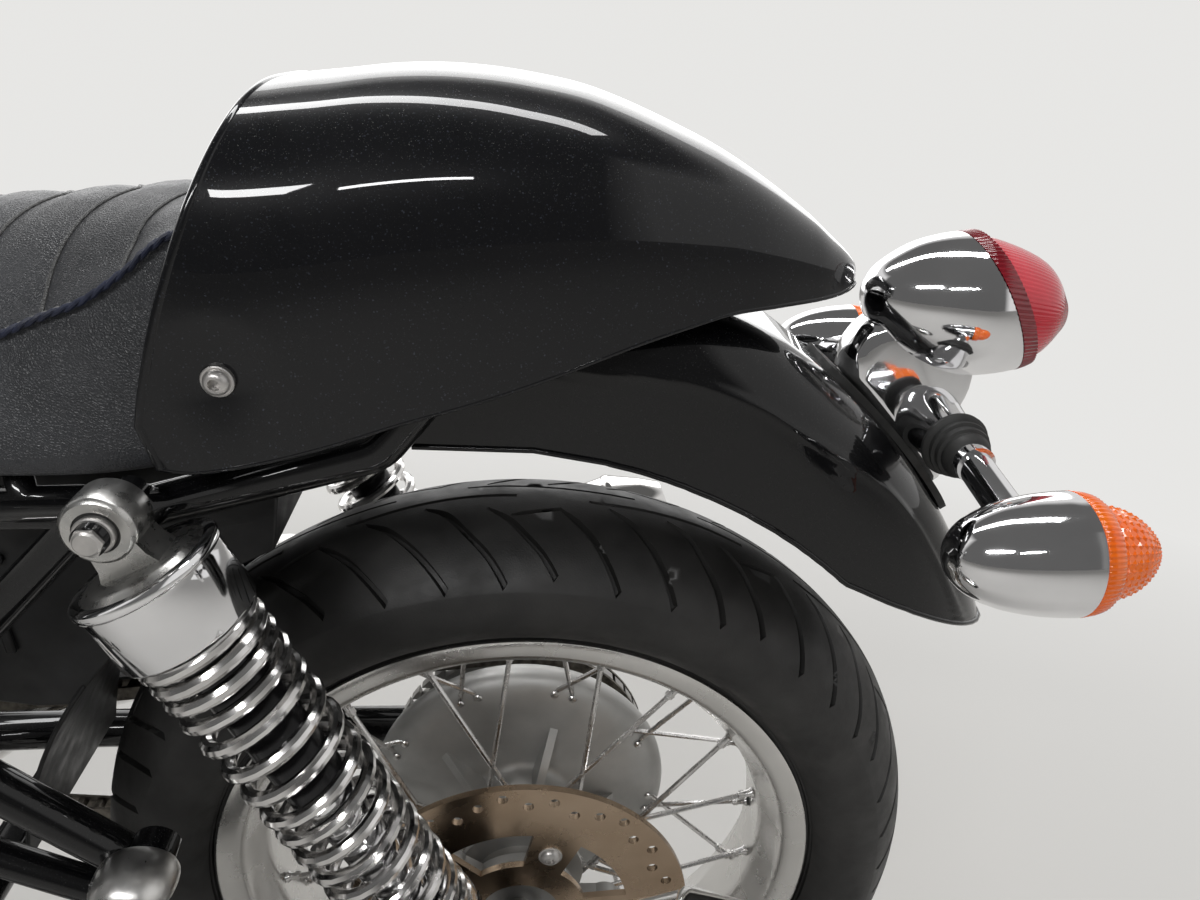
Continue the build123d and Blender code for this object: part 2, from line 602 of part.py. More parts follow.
# Exhausts: a header down the front, along below and into an upswept reverse-cone silencer
HEADER_R = 19
SILENCER_START = Vector(470, 189, 313)
SILENCER_END = Vector(-152, 246, 487)
SILENCER = Plane(origin=SILENCER_START, x_dir=(0, 1, 0), z_dir=SILENCER_END - SILENCER_START)
SILENCER_LENGTH = (SILENCER_END - SILENCER_START).length
SILENCER_PROFILE = [(-30, HEADER_R + 3), (30, 24), (SILENCER_LENGTH - 56, 46), (SILENCER_LENGTH - 48, 46),
                    (SILENCER_LENGTH, 24)]
with BuildPart() as exhaust_left:
    tube([(BARREL_X + PORT_REACH + GAP, PORT_Y, PORT_Z), (975, PORT_Y, PORT_Z), (1010, 108, 500),
          (985, 130, 212), (640, 130, 212), SILENCER_START], 52, HEADER_R)
    turned(SILENCER, SILENCER_PROFILE)
    tube([SILENCER_END, SILENCER_END - (SILENCER_END - SILENCER_START).normalized() * 40], 0, 19,
         Mode.SUBTRACT)
PIECES["exhaust_left"] = exhaust_left.part
with BuildPart() as exhaust_right:
    mirror(exhaust_left.part, about=Plane.XZ)
PIECES["exhaust_right"] = exhaust_right.part

# Oil cooler ahead of the front tubes
COOLER_Z = 556
with BuildPart() as oil_cooler:
    with BuildSketch(across(1124)):
        with Locations((0, COOLER_Z)):
            RectangleRounded(200, 96, 8)
    extrude(amount=30)
    with BuildSketch(across(1124)):
        with Locations((72, COOLER_Z), (-72, COOLER_Z)):
            Rectangle(12, 40)
    extrude(amount=-30)
    for row in range(6):
        with BuildSketch(across(1154)):
            with Locations((0, COOLER_Z - 37 + 15 * row)):
                Rectangle(176, 6)
        extrude(amount=-26, mode=Mode.SUBTRACT)
    for hand in (1, -1):
        cradle_tube(hand, TUBE_R + GAP, Mode.SUBTRACT)
PIECES["oil_cooler"] = oil_cooler.part

# Fuel tank, lofted, with knee recesses and a tunnel over the spine
TANK_SECTIONS = [(TANK_REAR, 762, 838, 70, 30), (TANK_REAR + 78, 742, 884, 100, 55),
                 ((TANK_REAR + TANK_FRONT) / 2, 738, 908, 128, 66), (TANK_FRONT - 82, 745, 908, 132, 66),
                 (TANK_FRONT, 776, 884, 86, 44)]
FILLER_X = TANK_FRONT - 152
FILLER_Z = 904
with BuildPart() as fuel_tank:
    loft([rounded(*row) for row in TANK_SECTIONS])
    with BuildSketch(across(600)):
        with Locations((0, 762)):
            Rectangle(2 * TUNNEL_HALF, 122)
    extrude(amount=TANK_FRONT - TANK_REAR + 50, mode=Mode.SUBTRACT)
    with BuildSketch(Plane.XY.offset(FILLER_Z)):
        with Locations((FILLER_X, 0)):
            Circle(36)
    extrude(amount=30, mode=Mode.SUBTRACT)
PIECES["fuel_tank"] = fuel_tank.part

with BuildPart() as fuel_cap:
    with BuildSketch(Plane.XY.offset(FILLER_Z + GAP)):
        with Locations((FILLER_X, 0)):
            Circle(32)
    extrude(amount=16, taper=6)
PIECES["fuel_cap"] = fuel_cap.part

# Seat, from the tank back into the cowl
SEAT_SECTIONS = [(606, 762, 812, 66, 50, 22), (520, 746, 802, 100, 80, 28), (400, 728, 806, 118, 92, 30),
                 (250, SHOCK_ARM_TOP + 24, 836, 118, 90, 34), (172, SHOCK_ARM_TOP + 26, 843, 116, 86, 34), (72, 738, 842, 104, 84, 30)]
with BuildPart() as seat:
    loft([arch(*row) for row in SEAT_SECTIONS])
PIECES["seat"] = seat.part

# Seat cowl, an open shell with a rolled front lip
COWL_SECTIONS = [(178, 730, 878, 132, 104, 40), (100, 733, 900, 127, 98, 42), (20, 746, 908, 116, 90, 42),
                 (-62, 762, 894, 100, 76, 40), (-140, 777, 858, 78, 54, 30), (-218, 781, 798, 42, 30, 7)]
COWL_WALL = 4
COWL_FOOT = (168, 728)
COWL_LIP = (122, 915)
with BuildPart() as seat_cowl:
    loft([arch(*row) for row in COWL_SECTIONS])
    loft([arch(*row, inset=COWL_WALL, drop=8) for row in COWL_SECTIONS[:-1]], mode=Mode.SUBTRACT)
    with BuildSketch(along(0)) as front:
        with BuildLine():
            Polyline(COWL_FOOT, COWL_LIP, (COWL_LIP[0] + 120, 930), (COWL_FOOT[0] + 80, 700), close=True)
        make_face()
    extrude(front.sketch, amount=160, both=True, mode=Mode.SUBTRACT)
    for hand in (1, -1):
        tube([(28, hand * 100, 764), (28, hand * 113, 764)], 0, 9)
        seat_rail(hand, RAIL_R + GAP, Mode.SUBTRACT)
PIECES["seat_cowl"] = seat_cowl.part

# Rear mudguard, a deep channel swept over the wheel, its sides cut to the valance's curve
GUARD_HALF = 80
GUARD_WALL = 3
GUARD_SHOULDER = 40
GUARD_DEPTH = 150
GUARD_TAIL = (-344, 543)
GUARD_CREST_R = 479.8      # crest radius over the tail
GUARD_CREST_CENTRE = (100.3, 362)
with BuildPart() as rear_mudguard:
    with BuildLine(along(0)) as crest:
        back = ThreePointArc(GUARD_TAIL, (-273.6, 662.6), (-172, 757))
        top = TangentArc(back @ 1, (-62, 790), tangent=back % 1)
        Line(top @ 1, (48, 790))
    with BuildSketch(Plane(origin=crest.line @ 0, x_dir=(0, 1, 0), z_dir=crest.line % 0)) as channel:
        for inset, mode in ((0, Mode.ADD), (GUARD_WALL, Mode.SUBTRACT)):
            side = GUARD_HALF - inset
            with BuildLine() as skin:
                wall = FilletPolyline((-side, -GUARD_DEPTH), (-side, -inset), (side, -inset),
                                      (side, -GUARD_DEPTH), radius=GUARD_SHOULDER - inset)
                Line(wall @ 1, wall @ 0)
            make_face(mode=mode)
    sweep(sections=channel.sketch, path=crest.line)
    with BuildSketch(along(0)) as below:
        with BuildLine():
            valance = ThreePointArc((52, 713), (-90, 690), (-214, 610))
            Polyline(valance @ 1, (-474, 476), (-474, 380), (52, 380), valance @ 0)
        make_face()
    extrude(below.sketch, amount=GUARD_HALF + 10, both=True, mode=Mode.SUBTRACT)
PIECES["rear_mudguard"] = rear_mudguard.part

# Tail lamp, an egg cut by a slanting seam into a shell and a lens
LAMP_NOSE = Vector(-230, 0, 777)
LAMP_TIP = Vector(-368, 0, 758)
LAMP = Plane(origin=LAMP_NOSE, x_dir=(0, 1, 0), z_dir=LAMP_TIP - LAMP_NOSE)
LAMP_LENGTH = (LAMP_TIP - LAMP_NOSE).length
LAMP_PROFILE = [(0, 3), (2.5, 10), (10, 20.5), (30, 35), (56, 44), (78, 45.5), (111, 37), (130, 20),
                (LAMP_LENGTH - 2, 10), (LAMP_LENGTH, 3)]
LAMP_SEAM = Plane(origin=(-313.5, 0, 769), z_dir=(-0.9, 0, 0.44))
LAMP_FOOT = [(-206, 741), (-240, 752), (-318, 742), (-322, 712), (-296, 660), (-290, 640), (-250, 690)]
LAMP_FOOT_HALF = 24
LAMP_ARM = (-277, 697)     # x and z of the arms that carry the indicators
LAMP_BOOT_R = 19
LAMP_BOOT = (62, 84)       # where a rubber boot starts and ends, left of the middle
with BuildPart() as tail_light_lens:
    turned(LAMP, LAMP_PROFILE, smooth=True)
    split(bisect_by=LAMP_SEAM.offset(GAP), keep=Keep.TOP)
PIECES["tail_light_lens"] = tail_light_lens.part
with BuildPart() as tail_light_body:
    turned(LAMP, LAMP_PROFILE, smooth=True)
    split(bisect_by=LAMP_SEAM, keep=Keep.BOTTOM)
    with BuildSketch(along(0)) as foot:
        with BuildLine():
            Polyline(*LAMP_FOOT, close=True)
        make_face()
        fillet(foot.vertices().group_by(Axis.X)[0], 8)
    extrude(foot.sketch, amount=LAMP_FOOT_HALF, both=True)
    split(bisect_by=LAMP_SEAM, keep=Keep.BOTTOM)
    for hand in (1, -1):
        arm = Plane(origin=(LAMP_ARM[0], 0, LAMP_ARM[1]), x_dir=(1, 0, 0), z_dir=(0, hand, 0))
        turned(arm, [(0, 22), (LAMP_FOOT_HALF, 22), (LAMP_BOOT[0], 17), (LAMP_BOOT[0], LAMP_BOOT_R),
                     (LAMP_BOOT[1], LAMP_BOOT_R)])
    with BuildSketch(along(0)) as crown:
        with Locations(GUARD_CREST_CENTRE):
            Circle(GUARD_CREST_R + GAP)
    extrude(crown.sketch, amount=100, both=True, mode=Mode.SUBTRACT)
PIECES["tail_light_body"] = tail_light_body.part

# Indicators, bullet shells on stems with domed lenses facing out to the ends
Indicator = namedtuple("Indicator", "nose seam tip y z radius stem_root")
INDICATORS = {
    "rear": Indicator(-226, -308, -342, 167, 686, 37, (LAMP_ARM[0], LAMP_BOOT[1] + GAP, LAMP_ARM[1])),
    "front": Indicator(WHEELBASE - 228, WHEELBASE - 146, WHEELBASE - 112, 190, 800, 37,
                       (WHEELBASE - 180, 91 + GAP, 806)),
}

STEM_COLLAR_R = 11
# A shell and a lens from nose to tip, as shares of their length and radius
BULLET = [(0, 0.08), (0.02, 0.16), (0.088, 0.34), (0.25, 0.643), (0.52, 0.854), (0.83, 0.967), (1, 1)]
DOME = [(0, 0.98), (0.28, 0.95), (0.28, 0.74), (0.55, 0.68), (0.8, 0.5), (0.94, 0.27), (1, 0.06)]


def make_indicators(lamp):
    """Both shells and both lenses of one end of the bike."""
    facing = 1 if lamp.tip > lamp.nose else -1
    length, glass = abs(lamp.seam - lamp.nose), abs(lamp.tip - lamp.seam)
    centre = (lamp.nose + lamp.seam) / 2
    with BuildPart() as shells:
        axis = Plane(origin=(lamp.nose, lamp.y, lamp.z), x_dir=(0, 1, 0), z_dir=(facing, 0, 0))
        turned(axis, [(along_it * length, out * lamp.radius) for along_it, out in BULLET], smooth=True)
        root = Vector(*lamp.stem_root)
        tube([root, root + (0, 8, 0)], 0, STEM_COLLAR_R)
        tube([root + (0, 4, 0), (root.X, lamp.y - lamp.radius * 0.5, lamp.z)], 0, STEM_COLLAR_R - 1.5)
        mirror(about=Plane.XZ)
    with BuildPart() as lenses:
        axis = Plane(origin=(lamp.seam + facing * GAP, lamp.y, lamp.z), x_dir=(0, 1, 0),
                     z_dir=(facing, 0, 0))
        turned(axis, [(along_it * glass, out * lamp.radius) for along_it, out in DOME])
        mirror(about=Plane.XZ)
    return shells.part, lenses.part


for end, lamp in INDICATORS.items():
    PIECES[f"{end}_indicators"], PIECES[f"{end}_indicator_lenses"] = make_indicators(lamp)

# Shock absorbers: damper, shroud and eyes, with the spring around the damper
SHOCK = Plane(origin=SHOCK_BOTTOM, x_dir=(0, 1, 0), z_dir=SHOCK_TOP - SHOCK_BOTTOM)
SHOCK_LENGTH = (SHOCK_TOP - SHOCK_BOTTOM).length
SPRING_FOOT = 42
with BuildPart() as shock_dampers:
    turned(SHOCK, [(8, 12), (24, 14), (30, SPRING_R), (SPRING_FOOT - 2, SPRING_R), (SPRING_FOOT, DAMPER_R),
                   (SHOCK_LENGTH - SHROUD_FOOT - 2, DAMPER_R), (SHOCK_LENGTH - SHROUD_FOOT, SHROUD_R),
                   (SHOCK_LENGTH - SHROUD_TOP - 4, SHROUD_R), (SHOCK_LENGTH - SHROUD_TOP - 2, SHROUD_R + 1),
                   (SHOCK_LENGTH - SHROUD_TOP, SHROUD_R), (SHOCK_LENGTH - SHROUD_TOP + 2, 24),
                   (SHOCK_LENGTH - 10, 18)])
    for eye, eye_r in ((SHOCK_BOTTOM, 17), (SHOCK_TOP, 22)):
        with BuildSketch(left_of(eye)) as boss:
            Circle(eye_r)
        extrude(boss.sketch, amount=12, both=True)
        with BuildSketch(left_of(eye)) as bore:
            Circle(8 + SHAFT_FIT)
        extrude(bore.sketch, amount=20, both=True, mode=Mode.SUBTRACT)
    mirror(about=Plane.XZ)
PIECES["shock_dampers"] = shock_dampers.part

SPRING_TOP = SHOCK_LENGTH - SHROUD_FOOT - 2 - GAP
with BuildPart() as shock_springs:
    ring_pitch = 16
    rings = int((SPRING_TOP - SPRING_FOOT) / ring_pitch)
    outline = []
    for ring in range(rings):
        foot = SPRING_FOOT + ring * ring_pitch
        outline += [(foot, SPRING_R - 4), (foot + 2, SPRING_R - 1), (foot + 5, SPRING_R),
                    (foot + 8, SPRING_R - 1), (foot + 10, SPRING_R - 4), (foot + 10, SPRING_R - 9),
                    (foot + ring_pitch, SPRING_R - 9)]
    turned(SHOCK, outline, bore=DAMPER_R + GAP)
    mirror(about=Plane.XZ)
PIECES["shock_springs"] = shock_springs.part

# Rear caliper, low on the left ahead of the axle
with BuildPart() as rear_caliper:
    with BuildSketch(along(REAR.disc_y + DISC_THICKNESS / 2)):
        with Locations(Location((88, 262), -35)):
            RectangleRounded(60, 84, 12)
    extrude(amount=20, both=True)
    with BuildSketch(along(REAR.disc_y + DISC_THICKNESS / 2)) as slot:
        with Locations((0, REAR.radius)):
            Circle(REAR.disc_r + 6)
    extrude(slot.sketch, amount=DISC_THICKNESS / 2 + 1, both=True, mode=Mode.SUBTRACT)
    with BuildSketch(along(REAR.disc_y + DISC_THICKNESS)) as lug_room:
        with Locations((0, REAR.radius)):
            Circle(DISC_BOLTS_R + DISC_LUG_R + 5)
    extrude(lug_room.sketch, amount=30, mode=Mode.SUBTRACT)
PIECES["rear_caliper"] = rear_caliper.part

# Chain guard over the top run, on two straps from the swingarm
GUARD_Y = CHAIN_Y - 3
GUARD_SLOPE = 0.063
GUARD_POSTS = (180, 340)
with BuildPart() as chain_guard:
    with BuildSketch(across(70)):
        with Locations((GUARD_Y, 446)):
            Rectangle(34, 3)
        with Locations((GUARD_Y - 15.5, 432)):
            Rectangle(3, 30)
    extrude(amount=360, dir=(1, 0, -GUARD_SLOPE))
    for x in GUARD_POSTS:
        with BuildSketch(Plane.XY.offset(arm_top(x) + 2 * GAP)) as post:
            with Locations((x, GUARD_Y - 22)):
                Rectangle(10, 13)
        extrude(post.sketch, amount=448 - GUARD_SLOPE * (x - 70) - arm_top(x))
PIECES["chain_guard"] = chain_guard.part

# Footrests, a peg for each of the rider's feet
with BuildPart() as footrests_left:
    tube([(UPRIGHT[0], UPRIGHT[1], 428), (UPRIGHT[0] - 6, 150, 420), (496, 262, 412)], 20, 12)
    cradle_tube(1, TUBE_R + GAP, Mode.SUBTRACT)
PIECES["footrests_left"] = footrests_left.part
with BuildPart() as footrests_right:
    mirror(footrests_left.part, about=Plane.XZ)
PIECES["footrests_right"] = footrests_right.part

# Passenger hangers: on each side two tubes from the stay to a boss, with a folded peg and the silencer's strap
HANGER_Y = 150
HANGER_R = 12
HANGER_BOSS = (218, 484)
HANGER_FOOT = (224, 456)
PEG_Y = (158, 192)
PEG_HALVES = (32, 21)      # half the oval peg's length and height
PEG_MIDDLE = (206, 499)
with BuildPart() as passenger_hangers:
    tube([(330, 103, 591), (296, HANGER_Y, 582), (HANGER_BOSS[0], HANGER_Y, HANGER_BOSS[1])], 24, HANGER_R)
    tube([(400, 92, 547), (345, HANGER_Y, 536), (HANGER_FOOT[0], HANGER_Y, HANGER_FOOT[1])], 24, HANGER_R - 2)
    tail_stay(1, STAY_R + GAP, Mode.SUBTRACT)
    with BuildSketch(along(HANGER_Y + 8)) as boss:
        with Locations(HANGER_BOSS, PEG_MIDDLE):
            Circle(15)
        with Locations(HANGER_FOOT):
            Circle(12)
        make_hull()
    extrude(boss.sketch, amount=16)
    with BuildSketch(along(PEG_Y[0])) as peg:
        with Locations(PEG_MIDDLE):
            Ellipse(*PEG_HALVES)
    extrude(peg.sketch, amount=PEG_Y[0] - PEG_Y[1])
    fillet(edges().filter_by(GeomType.ELLIPSE).sort_by(Axis.Y)[-1], 12)
    strap_end = SILENCER_START + (SILENCER_END - SILENCER_START) * 0.424
    tube([(HANGER_FOOT[0], HANGER_Y, HANGER_FOOT[1]), strap_end], 0, 7)
    turned(SILENCER, [(height, radius + GAP) for height, radius in SILENCER_PROFILE], mode=Mode.SUBTRACT)
    mirror(about=Plane.XZ)
PIECES["passenger_hangers"] = passenger_hangers.part

# Fork yokes, with the steering stem between them
YOKE_THICKNESS = {"lower": 30, "top": 22}
STANCHION_R = 20.5
with BuildPart() as fork_yokes:
    for level, thickness in ((LOWER_YOKE, YOKE_THICKNESS["lower"]), (TOP_YOKE, YOKE_THICKNESS["top"])):
        with BuildSketch(FORK.offset(level)) as yoke:
            with Locations((-FORK_OFFSET, 0)):
                Circle(29)
            with Locations((-10, FORK_SPACING / 2), (-10, -FORK_SPACING / 2)):
                Circle(18)
            make_hull()
            with Locations((0, FORK_SPACING / 2), (0, -FORK_SPACING / 2)):
                Circle(32)
                Circle(STANCHION_R + GAP, mode=Mode.SUBTRACT)
        extrude(yoke.sketch, amount=thickness)
    with BuildSketch(FORK.offset(LOWER_YOKE)) as stem:
        with Locations((-FORK_OFFSET, 0)):
            Circle(STEM_R)
    extrude(stem.sketch, amount=TOP_YOKE - LOWER_YOKE + 5)
PIECES["fork_yokes"] = fork_yokes.part

SLIDER_TOP = 290
SLIDER_R = 25
with BuildPart() as fork_stanchions:
    for hand in (1, -1):
        tube([fork_point(0, hand * FORK_SPACING / 2, SLIDER_TOP + GAP),
              fork_point(0, hand * FORK_SPACING / 2, TOP_YOKE + 60)], 0, STANCHION_R)
PIECES["fork_stanchions"] = fork_stanchions.part

with BuildPart() as fork_sliders:
    for hand in (1, -1):
        foot = fork_point(0, hand * FORK_SPACING / 2, -30)
        turned(Plane(origin=foot, x_dir=(0, 1, 0), z_dir=steer_up),
               [(0, 22), (8, 26), (60, 27), (80, SLIDER_R), (SLIDER_TOP + 6, SLIDER_R), (SLIDER_TOP + 10, 29),
                (SLIDER_TOP + 30, 29)])
    tube([(WHEELBASE, -140, FRONT.radius), (WHEELBASE, 140, FRONT.radius)], 0, FRONT.axle_r + SHAFT_FIT,
         Mode.SUBTRACT)
PIECES["fork_sliders"] = fork_sliders.part

with BuildPart() as front_axle:
    tube([(WHEELBASE, -132, FRONT.radius), (WHEELBASE, 132, FRONT.radius)], 0, FRONT.axle_r)
    tube([(WHEELBASE, -70, FRONT.radius), (WHEELBASE, -45.3, FRONT.radius)], 0, 15)
    tube([(WHEELBASE, 65, FRONT.radius), (WHEELBASE, 70, FRONT.radius)], 0, 15)
PIECES["front_axle"] = front_axle.part

# Front mudguard, a narrow arch with a stay to each slider
with BuildPart() as front_mudguard:
    with BuildSketch(across(WHEELBASE)) as profile:
        with BuildLine():
            ThreePointArc((-58, FRONT.radius + 322), (0, FRONT.radius + 345), (58, FRONT.radius + 322))
            Line((58, FRONT.radius + 322), (55, FRONT.radius + 322))
            ThreePointArc((55, FRONT.radius + 322), (0, FRONT.radius + 342), (-55, FRONT.radius + 322))
            Line((-55, FRONT.radius + 322), (-58, FRONT.radius + 322))
        make_face()
    revolve(profile.sketch, axis=Axis((WHEELBASE, 0, FRONT.radius), (0, -1, 0)), revolution_arc=118)
    for hand in (1, -1):
        with BuildSketch(FORK.offset(250)) as bracket:
            with Locations((0, hand * 78)):
                Rectangle(20, 46)
        extrude(bracket.sketch, amount=14)
        with BuildSketch(FORK.offset(250)) as strap:
            with Locations((0, hand * 57)):
                Rectangle(26, 4)
        extrude(strap.sketch, amount=78)
        tube([fork_point(0, hand * FORK_SPACING / 2, 200), fork_point(0, hand * FORK_SPACING / 2, 320)], 0,
             SLIDER_R + GAP, Mode.SUBTRACT)
PIECES["front_mudguard"] = front_mudguard.part

# Front caliper, behind the left leg
with BuildPart() as front_caliper:
    middle = FRONT.disc_y + DISC_THICKNESS / 2
    with BuildSketch(Plane(origin=fork_point(-108, middle, 96), x_dir=steer_forward, z_dir=(0, 1, 0))):
        RectangleRounded(66, 96, 14)
    extrude(amount=24, both=True)
    with BuildSketch(along(middle)) as slot:
        with Locations((FRONT.x, FRONT.radius)):
            Circle(FRONT.disc_r + 4)
    extrude(slot.sketch, amount=DISC_THICKNESS / 2 + 1.5, both=True, mode=Mode.SUBTRACT)
    with BuildSketch(FORK.offset(76)) as lug:
        with Locations((-46, 80)):
            Rectangle(76, 10)
    extrude(lug.sketch, amount=34)
    tube([fork_point(0, FORK_SPACING / 2, 40), fork_point(0, FORK_SPACING / 2, 140)], 0, SLIDER_R + GAP,
         Mode.SUBTRACT)
PIECES["front_caliper"] = front_caliper.part

# Handlebars: a clip-on for each hand, with an open end
BAR_LEVEL = TOP_YOKE + YOKE_THICKNESS["top"] + 6
BAR_R = 11
BAR_BORE_R = 8
BAR_BORE_DEPTH = 40
BAR_BEND = (-20, 130, -6)      # forward, outward and up from the clamp's middle
BAR_END = (-62, 250, -20)


def bar_points(hand):
    """The root, bend and open end of one bar."""
    clamp_middle = fork_point(0, hand * FORK_SPACING / 2, BAR_LEVEL + 13)
    return [clamp_middle + Vector(x, hand * y, z) for x, y, z in ((8, 24, 0), BAR_BEND, BAR_END)]


def bar_end(hand):
    """The middle of one bar's open end, and the direction in which it opens."""
    root, bend, end = bar_points(hand)
    return end, (end - bend).normalized()


with BuildPart() as handlebars:
    for hand in (1, -1):
        with BuildSketch(FORK.offset(BAR_LEVEL)) as clamp:
            with Locations((0, hand * FORK_SPACING / 2)):
                Circle(30)
                Circle(STANCHION_R + GAP, mode=Mode.SUBTRACT)
        extrude(clamp.sketch, amount=26)
        end, outward = bar_end(hand)
        tube(bar_points(hand), 60, BAR_R)
        tube([end - outward * BAR_BORE_DEPTH, end + outward], 0, BAR_BORE_R, Mode.SUBTRACT)
PIECES["handlebars"] = handlebars.part

# Rubber grips, a little short of the bars' open ends
GRIP_LENGTH = 104
GRIP_R = 16
with BuildPart() as grips:
    for hand in (1, -1):
        end, outward = bar_end(hand)
        tube([end - outward * (GRIP_LENGTH + 3), end - outward * 3], 0, GRIP_R)
        tube([end - outward * (GRIP_LENGTH + 5), end - outward], 0, BAR_R + GAP, Mode.SUBTRACT)
PIECES["grips"] = grips.part

# Brake and clutch levers, each with the perch that clamps it to its bar
PERCH_R = 17
PERCH_HALF = 11
PERCH_IN = 19              # from the bar's bend in to the perch's middle
LEVER_REACH = 42           # from the bar forward to the lever's pivot
LEVER_R = 5.5
LEVER_SPAN = 158


def perch(hand):
    """The middle of a perch on its bar, and the bar's direction there, away from the bike."""
    root, bend, end = bar_points(hand)
    outward = (bend - root).normalized()
    return bend - outward * PERCH_IN, outward


with BuildPart() as hand_levers:
    for hand in (1, -1):
        middle, outward = perch(hand)
        pivot = middle + Vector(LEVER_REACH, 0, 4)
        elbow = pivot + Vector(12, hand * 34, 0)
        tip = Vector(BAR_END[0] - BAR_BEND[0], hand * (BAR_END[1] - BAR_BEND[1]), BAR_END[2] - BAR_BEND[2])
        tip = elbow + tip.normalized() * (LEVER_SPAN - 36)
        tube([middle - outward * PERCH_HALF, middle + outward * PERCH_HALF], 0, PERCH_R)
        tube([middle, pivot], 0, 9)
        tube([pivot - Vector(0, 0, 10), pivot + Vector(0, 0, 10)], 0, 12)
        tube([pivot, elbow, tip], 20, LEVER_R)
        with Locations(tip):
            Sphere(LEVER_R + 3)
        tube([middle - outward * 30, middle + outward * 14], 0, BAR_R + GAP, Mode.SUBTRACT)
PIECES["hand_levers"] = hand_levers.part

# Round mirrors on stems from the perches
MIRROR_R = 48
MIRROR_RISE = 150
with BuildPart() as mirrors:
    for hand in (1, -1):
        foot = perch(hand)[0] + Vector(0, 0, PERCH_R + GAP)
        head = foot + Vector(-34, hand * 66, MIRROR_RISE)
        tube([foot, foot + Vector(0, hand * 6, 54), head], 30, 5)
        turned(Plane(origin=head - Vector(8, 0, 0), x_dir=(0, 1, 0), z_dir=(1, 0, 0)),
               [(0, MIRROR_R - 2), (3, MIRROR_R), (12, MIRROR_R - 3), (20, MIRROR_R * 0.7), (25, 8)])
PIECES["mirrors"] = mirrors.part

# Headlamp bowl and lens
HEADLAMP = Plane(origin=(WHEELBASE - 208, 0, 815), x_dir=(0, 1, 0), z_dir=(1, 0, 0))
with BuildPart() as headlight_shell:
    turned(HEADLAMP, [(0, 20), (10, 46), (34, 72), (70, 88), (104, 92), (118, 94)])
    for hand in (1, -1):
        with BuildSketch(along(hand * 88.5)) as ear:
            with Locations((WHEELBASE - 192, 812)):
                SlotOverall(150, 40)
        extrude(ear.sketch, amount=2.5, both=True)
        tube([fork_point(0, hand * FORK_SPACING / 2, 530), fork_point(0, hand * FORK_SPACING / 2, 590)], 0, 25)
        tube([fork_point(0, hand * FORK_SPACING / 2, 500), fork_point(0, hand * FORK_SPACING / 2, 620)], 0,
             STANCHION_R + GAP, Mode.SUBTRACT)
PIECES["headlight_shell"] = headlight_shell.part
with BuildPart() as headlight_lens:
    turned(HEADLAMP.offset(118 + GAP), [(0, 86), (8, 80), (16, 55), (20, 20)])
PIECES["headlight_lens"] = headlight_lens.part

# Twin gauges on a plate bolted to the top yoke
GAUGE_FOOT = TOP_YOKE + YOKE_THICKNESS["top"] + GAP
GAUGE_PLACES = [(66, 48), (66, -48)]
with BuildPart() as gauges:
    with BuildSketch(FORK.offset(GAUGE_FOOT)) as plate:
        with Locations(*GAUGE_PLACES):
            Circle(18)
        with Locations((-18, 24), (-18, -24)):
            Circle(12)
        make_hull()
    extrude(plate.sketch, amount=4)
    for place in GAUGE_PLACES:
        base = FORK.offset(GAUGE_FOOT + 2)
        turned(Plane(origin=base.from_local_coords(Vector(*place, 0)), x_dir=base.x_dir, z_dir=base.z_dir),
               [(0, 12), (12, 12), (16, 34), (62, 41), (68, 38)])
PIECES["gauges"] = gauges.part

# Side stand: an eye between the bracket's plates, a leg and a foot flat on the ground
ground_normal = Vector(0, -sin(radians(LEAN)), cos(radians(LEAN)))
with BuildPart() as side_stand:
    with BuildSketch(STAND.offset(-STAND_EYE_HALF)) as eye:
        Circle(STAND_EYE_R)
        with Locations((15, 0)):
            Rectangle(30, 22)
        Circle(STAND_PIN_R + SHAFT_FIT, mode=Mode.SUBTRACT)
    extrude(eye.sketch, amount=2 * STAND_EYE_HALF)
    tube([STAND_PIVOT + stand_down * 24, foot_point + ground_normal * 14], 0, STAND_LEG_R)
    with BuildSketch(Plane(origin=foot_point, x_dir=(1, 0, 0), z_dir=ground_normal)) as foot:
        RectangleRounded(62, 44, 14)
    extrude(foot.sketch, amount=8)
    tube([foot_point + ground_normal * 6, foot_point + ground_normal * 22], 0, STAND_LEG_R)
PIECES["side_stand"] = side_stand.part

# Lean the bike on to its stand, set the origin on the ground below its middle and write the pieces
MIDDLE = Vector(720, 120, -REST_DEPTH)
PARKED = Location(MIDDLE * -1) * Location((0, 0, 0), (-LEAN, 0, 0))
os.makedirs("parts", exist_ok=True)
for name, piece in PIECES.items():
    piece = piece.moved(PARKED)
    piece.label = name
    export_step(piece, f"parts/{name}.step")
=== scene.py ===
"""A cafe racer motorcycle leaning on its side stand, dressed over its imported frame."""
from math import atan2, cos, hypot, pi, radians, sin, tan

import bmesh
import bpy
from mathutils import Matrix, Vector
from mathutils.bvhtree import BVHTree
from mathutils.geometry import delaunay_2d_cdt


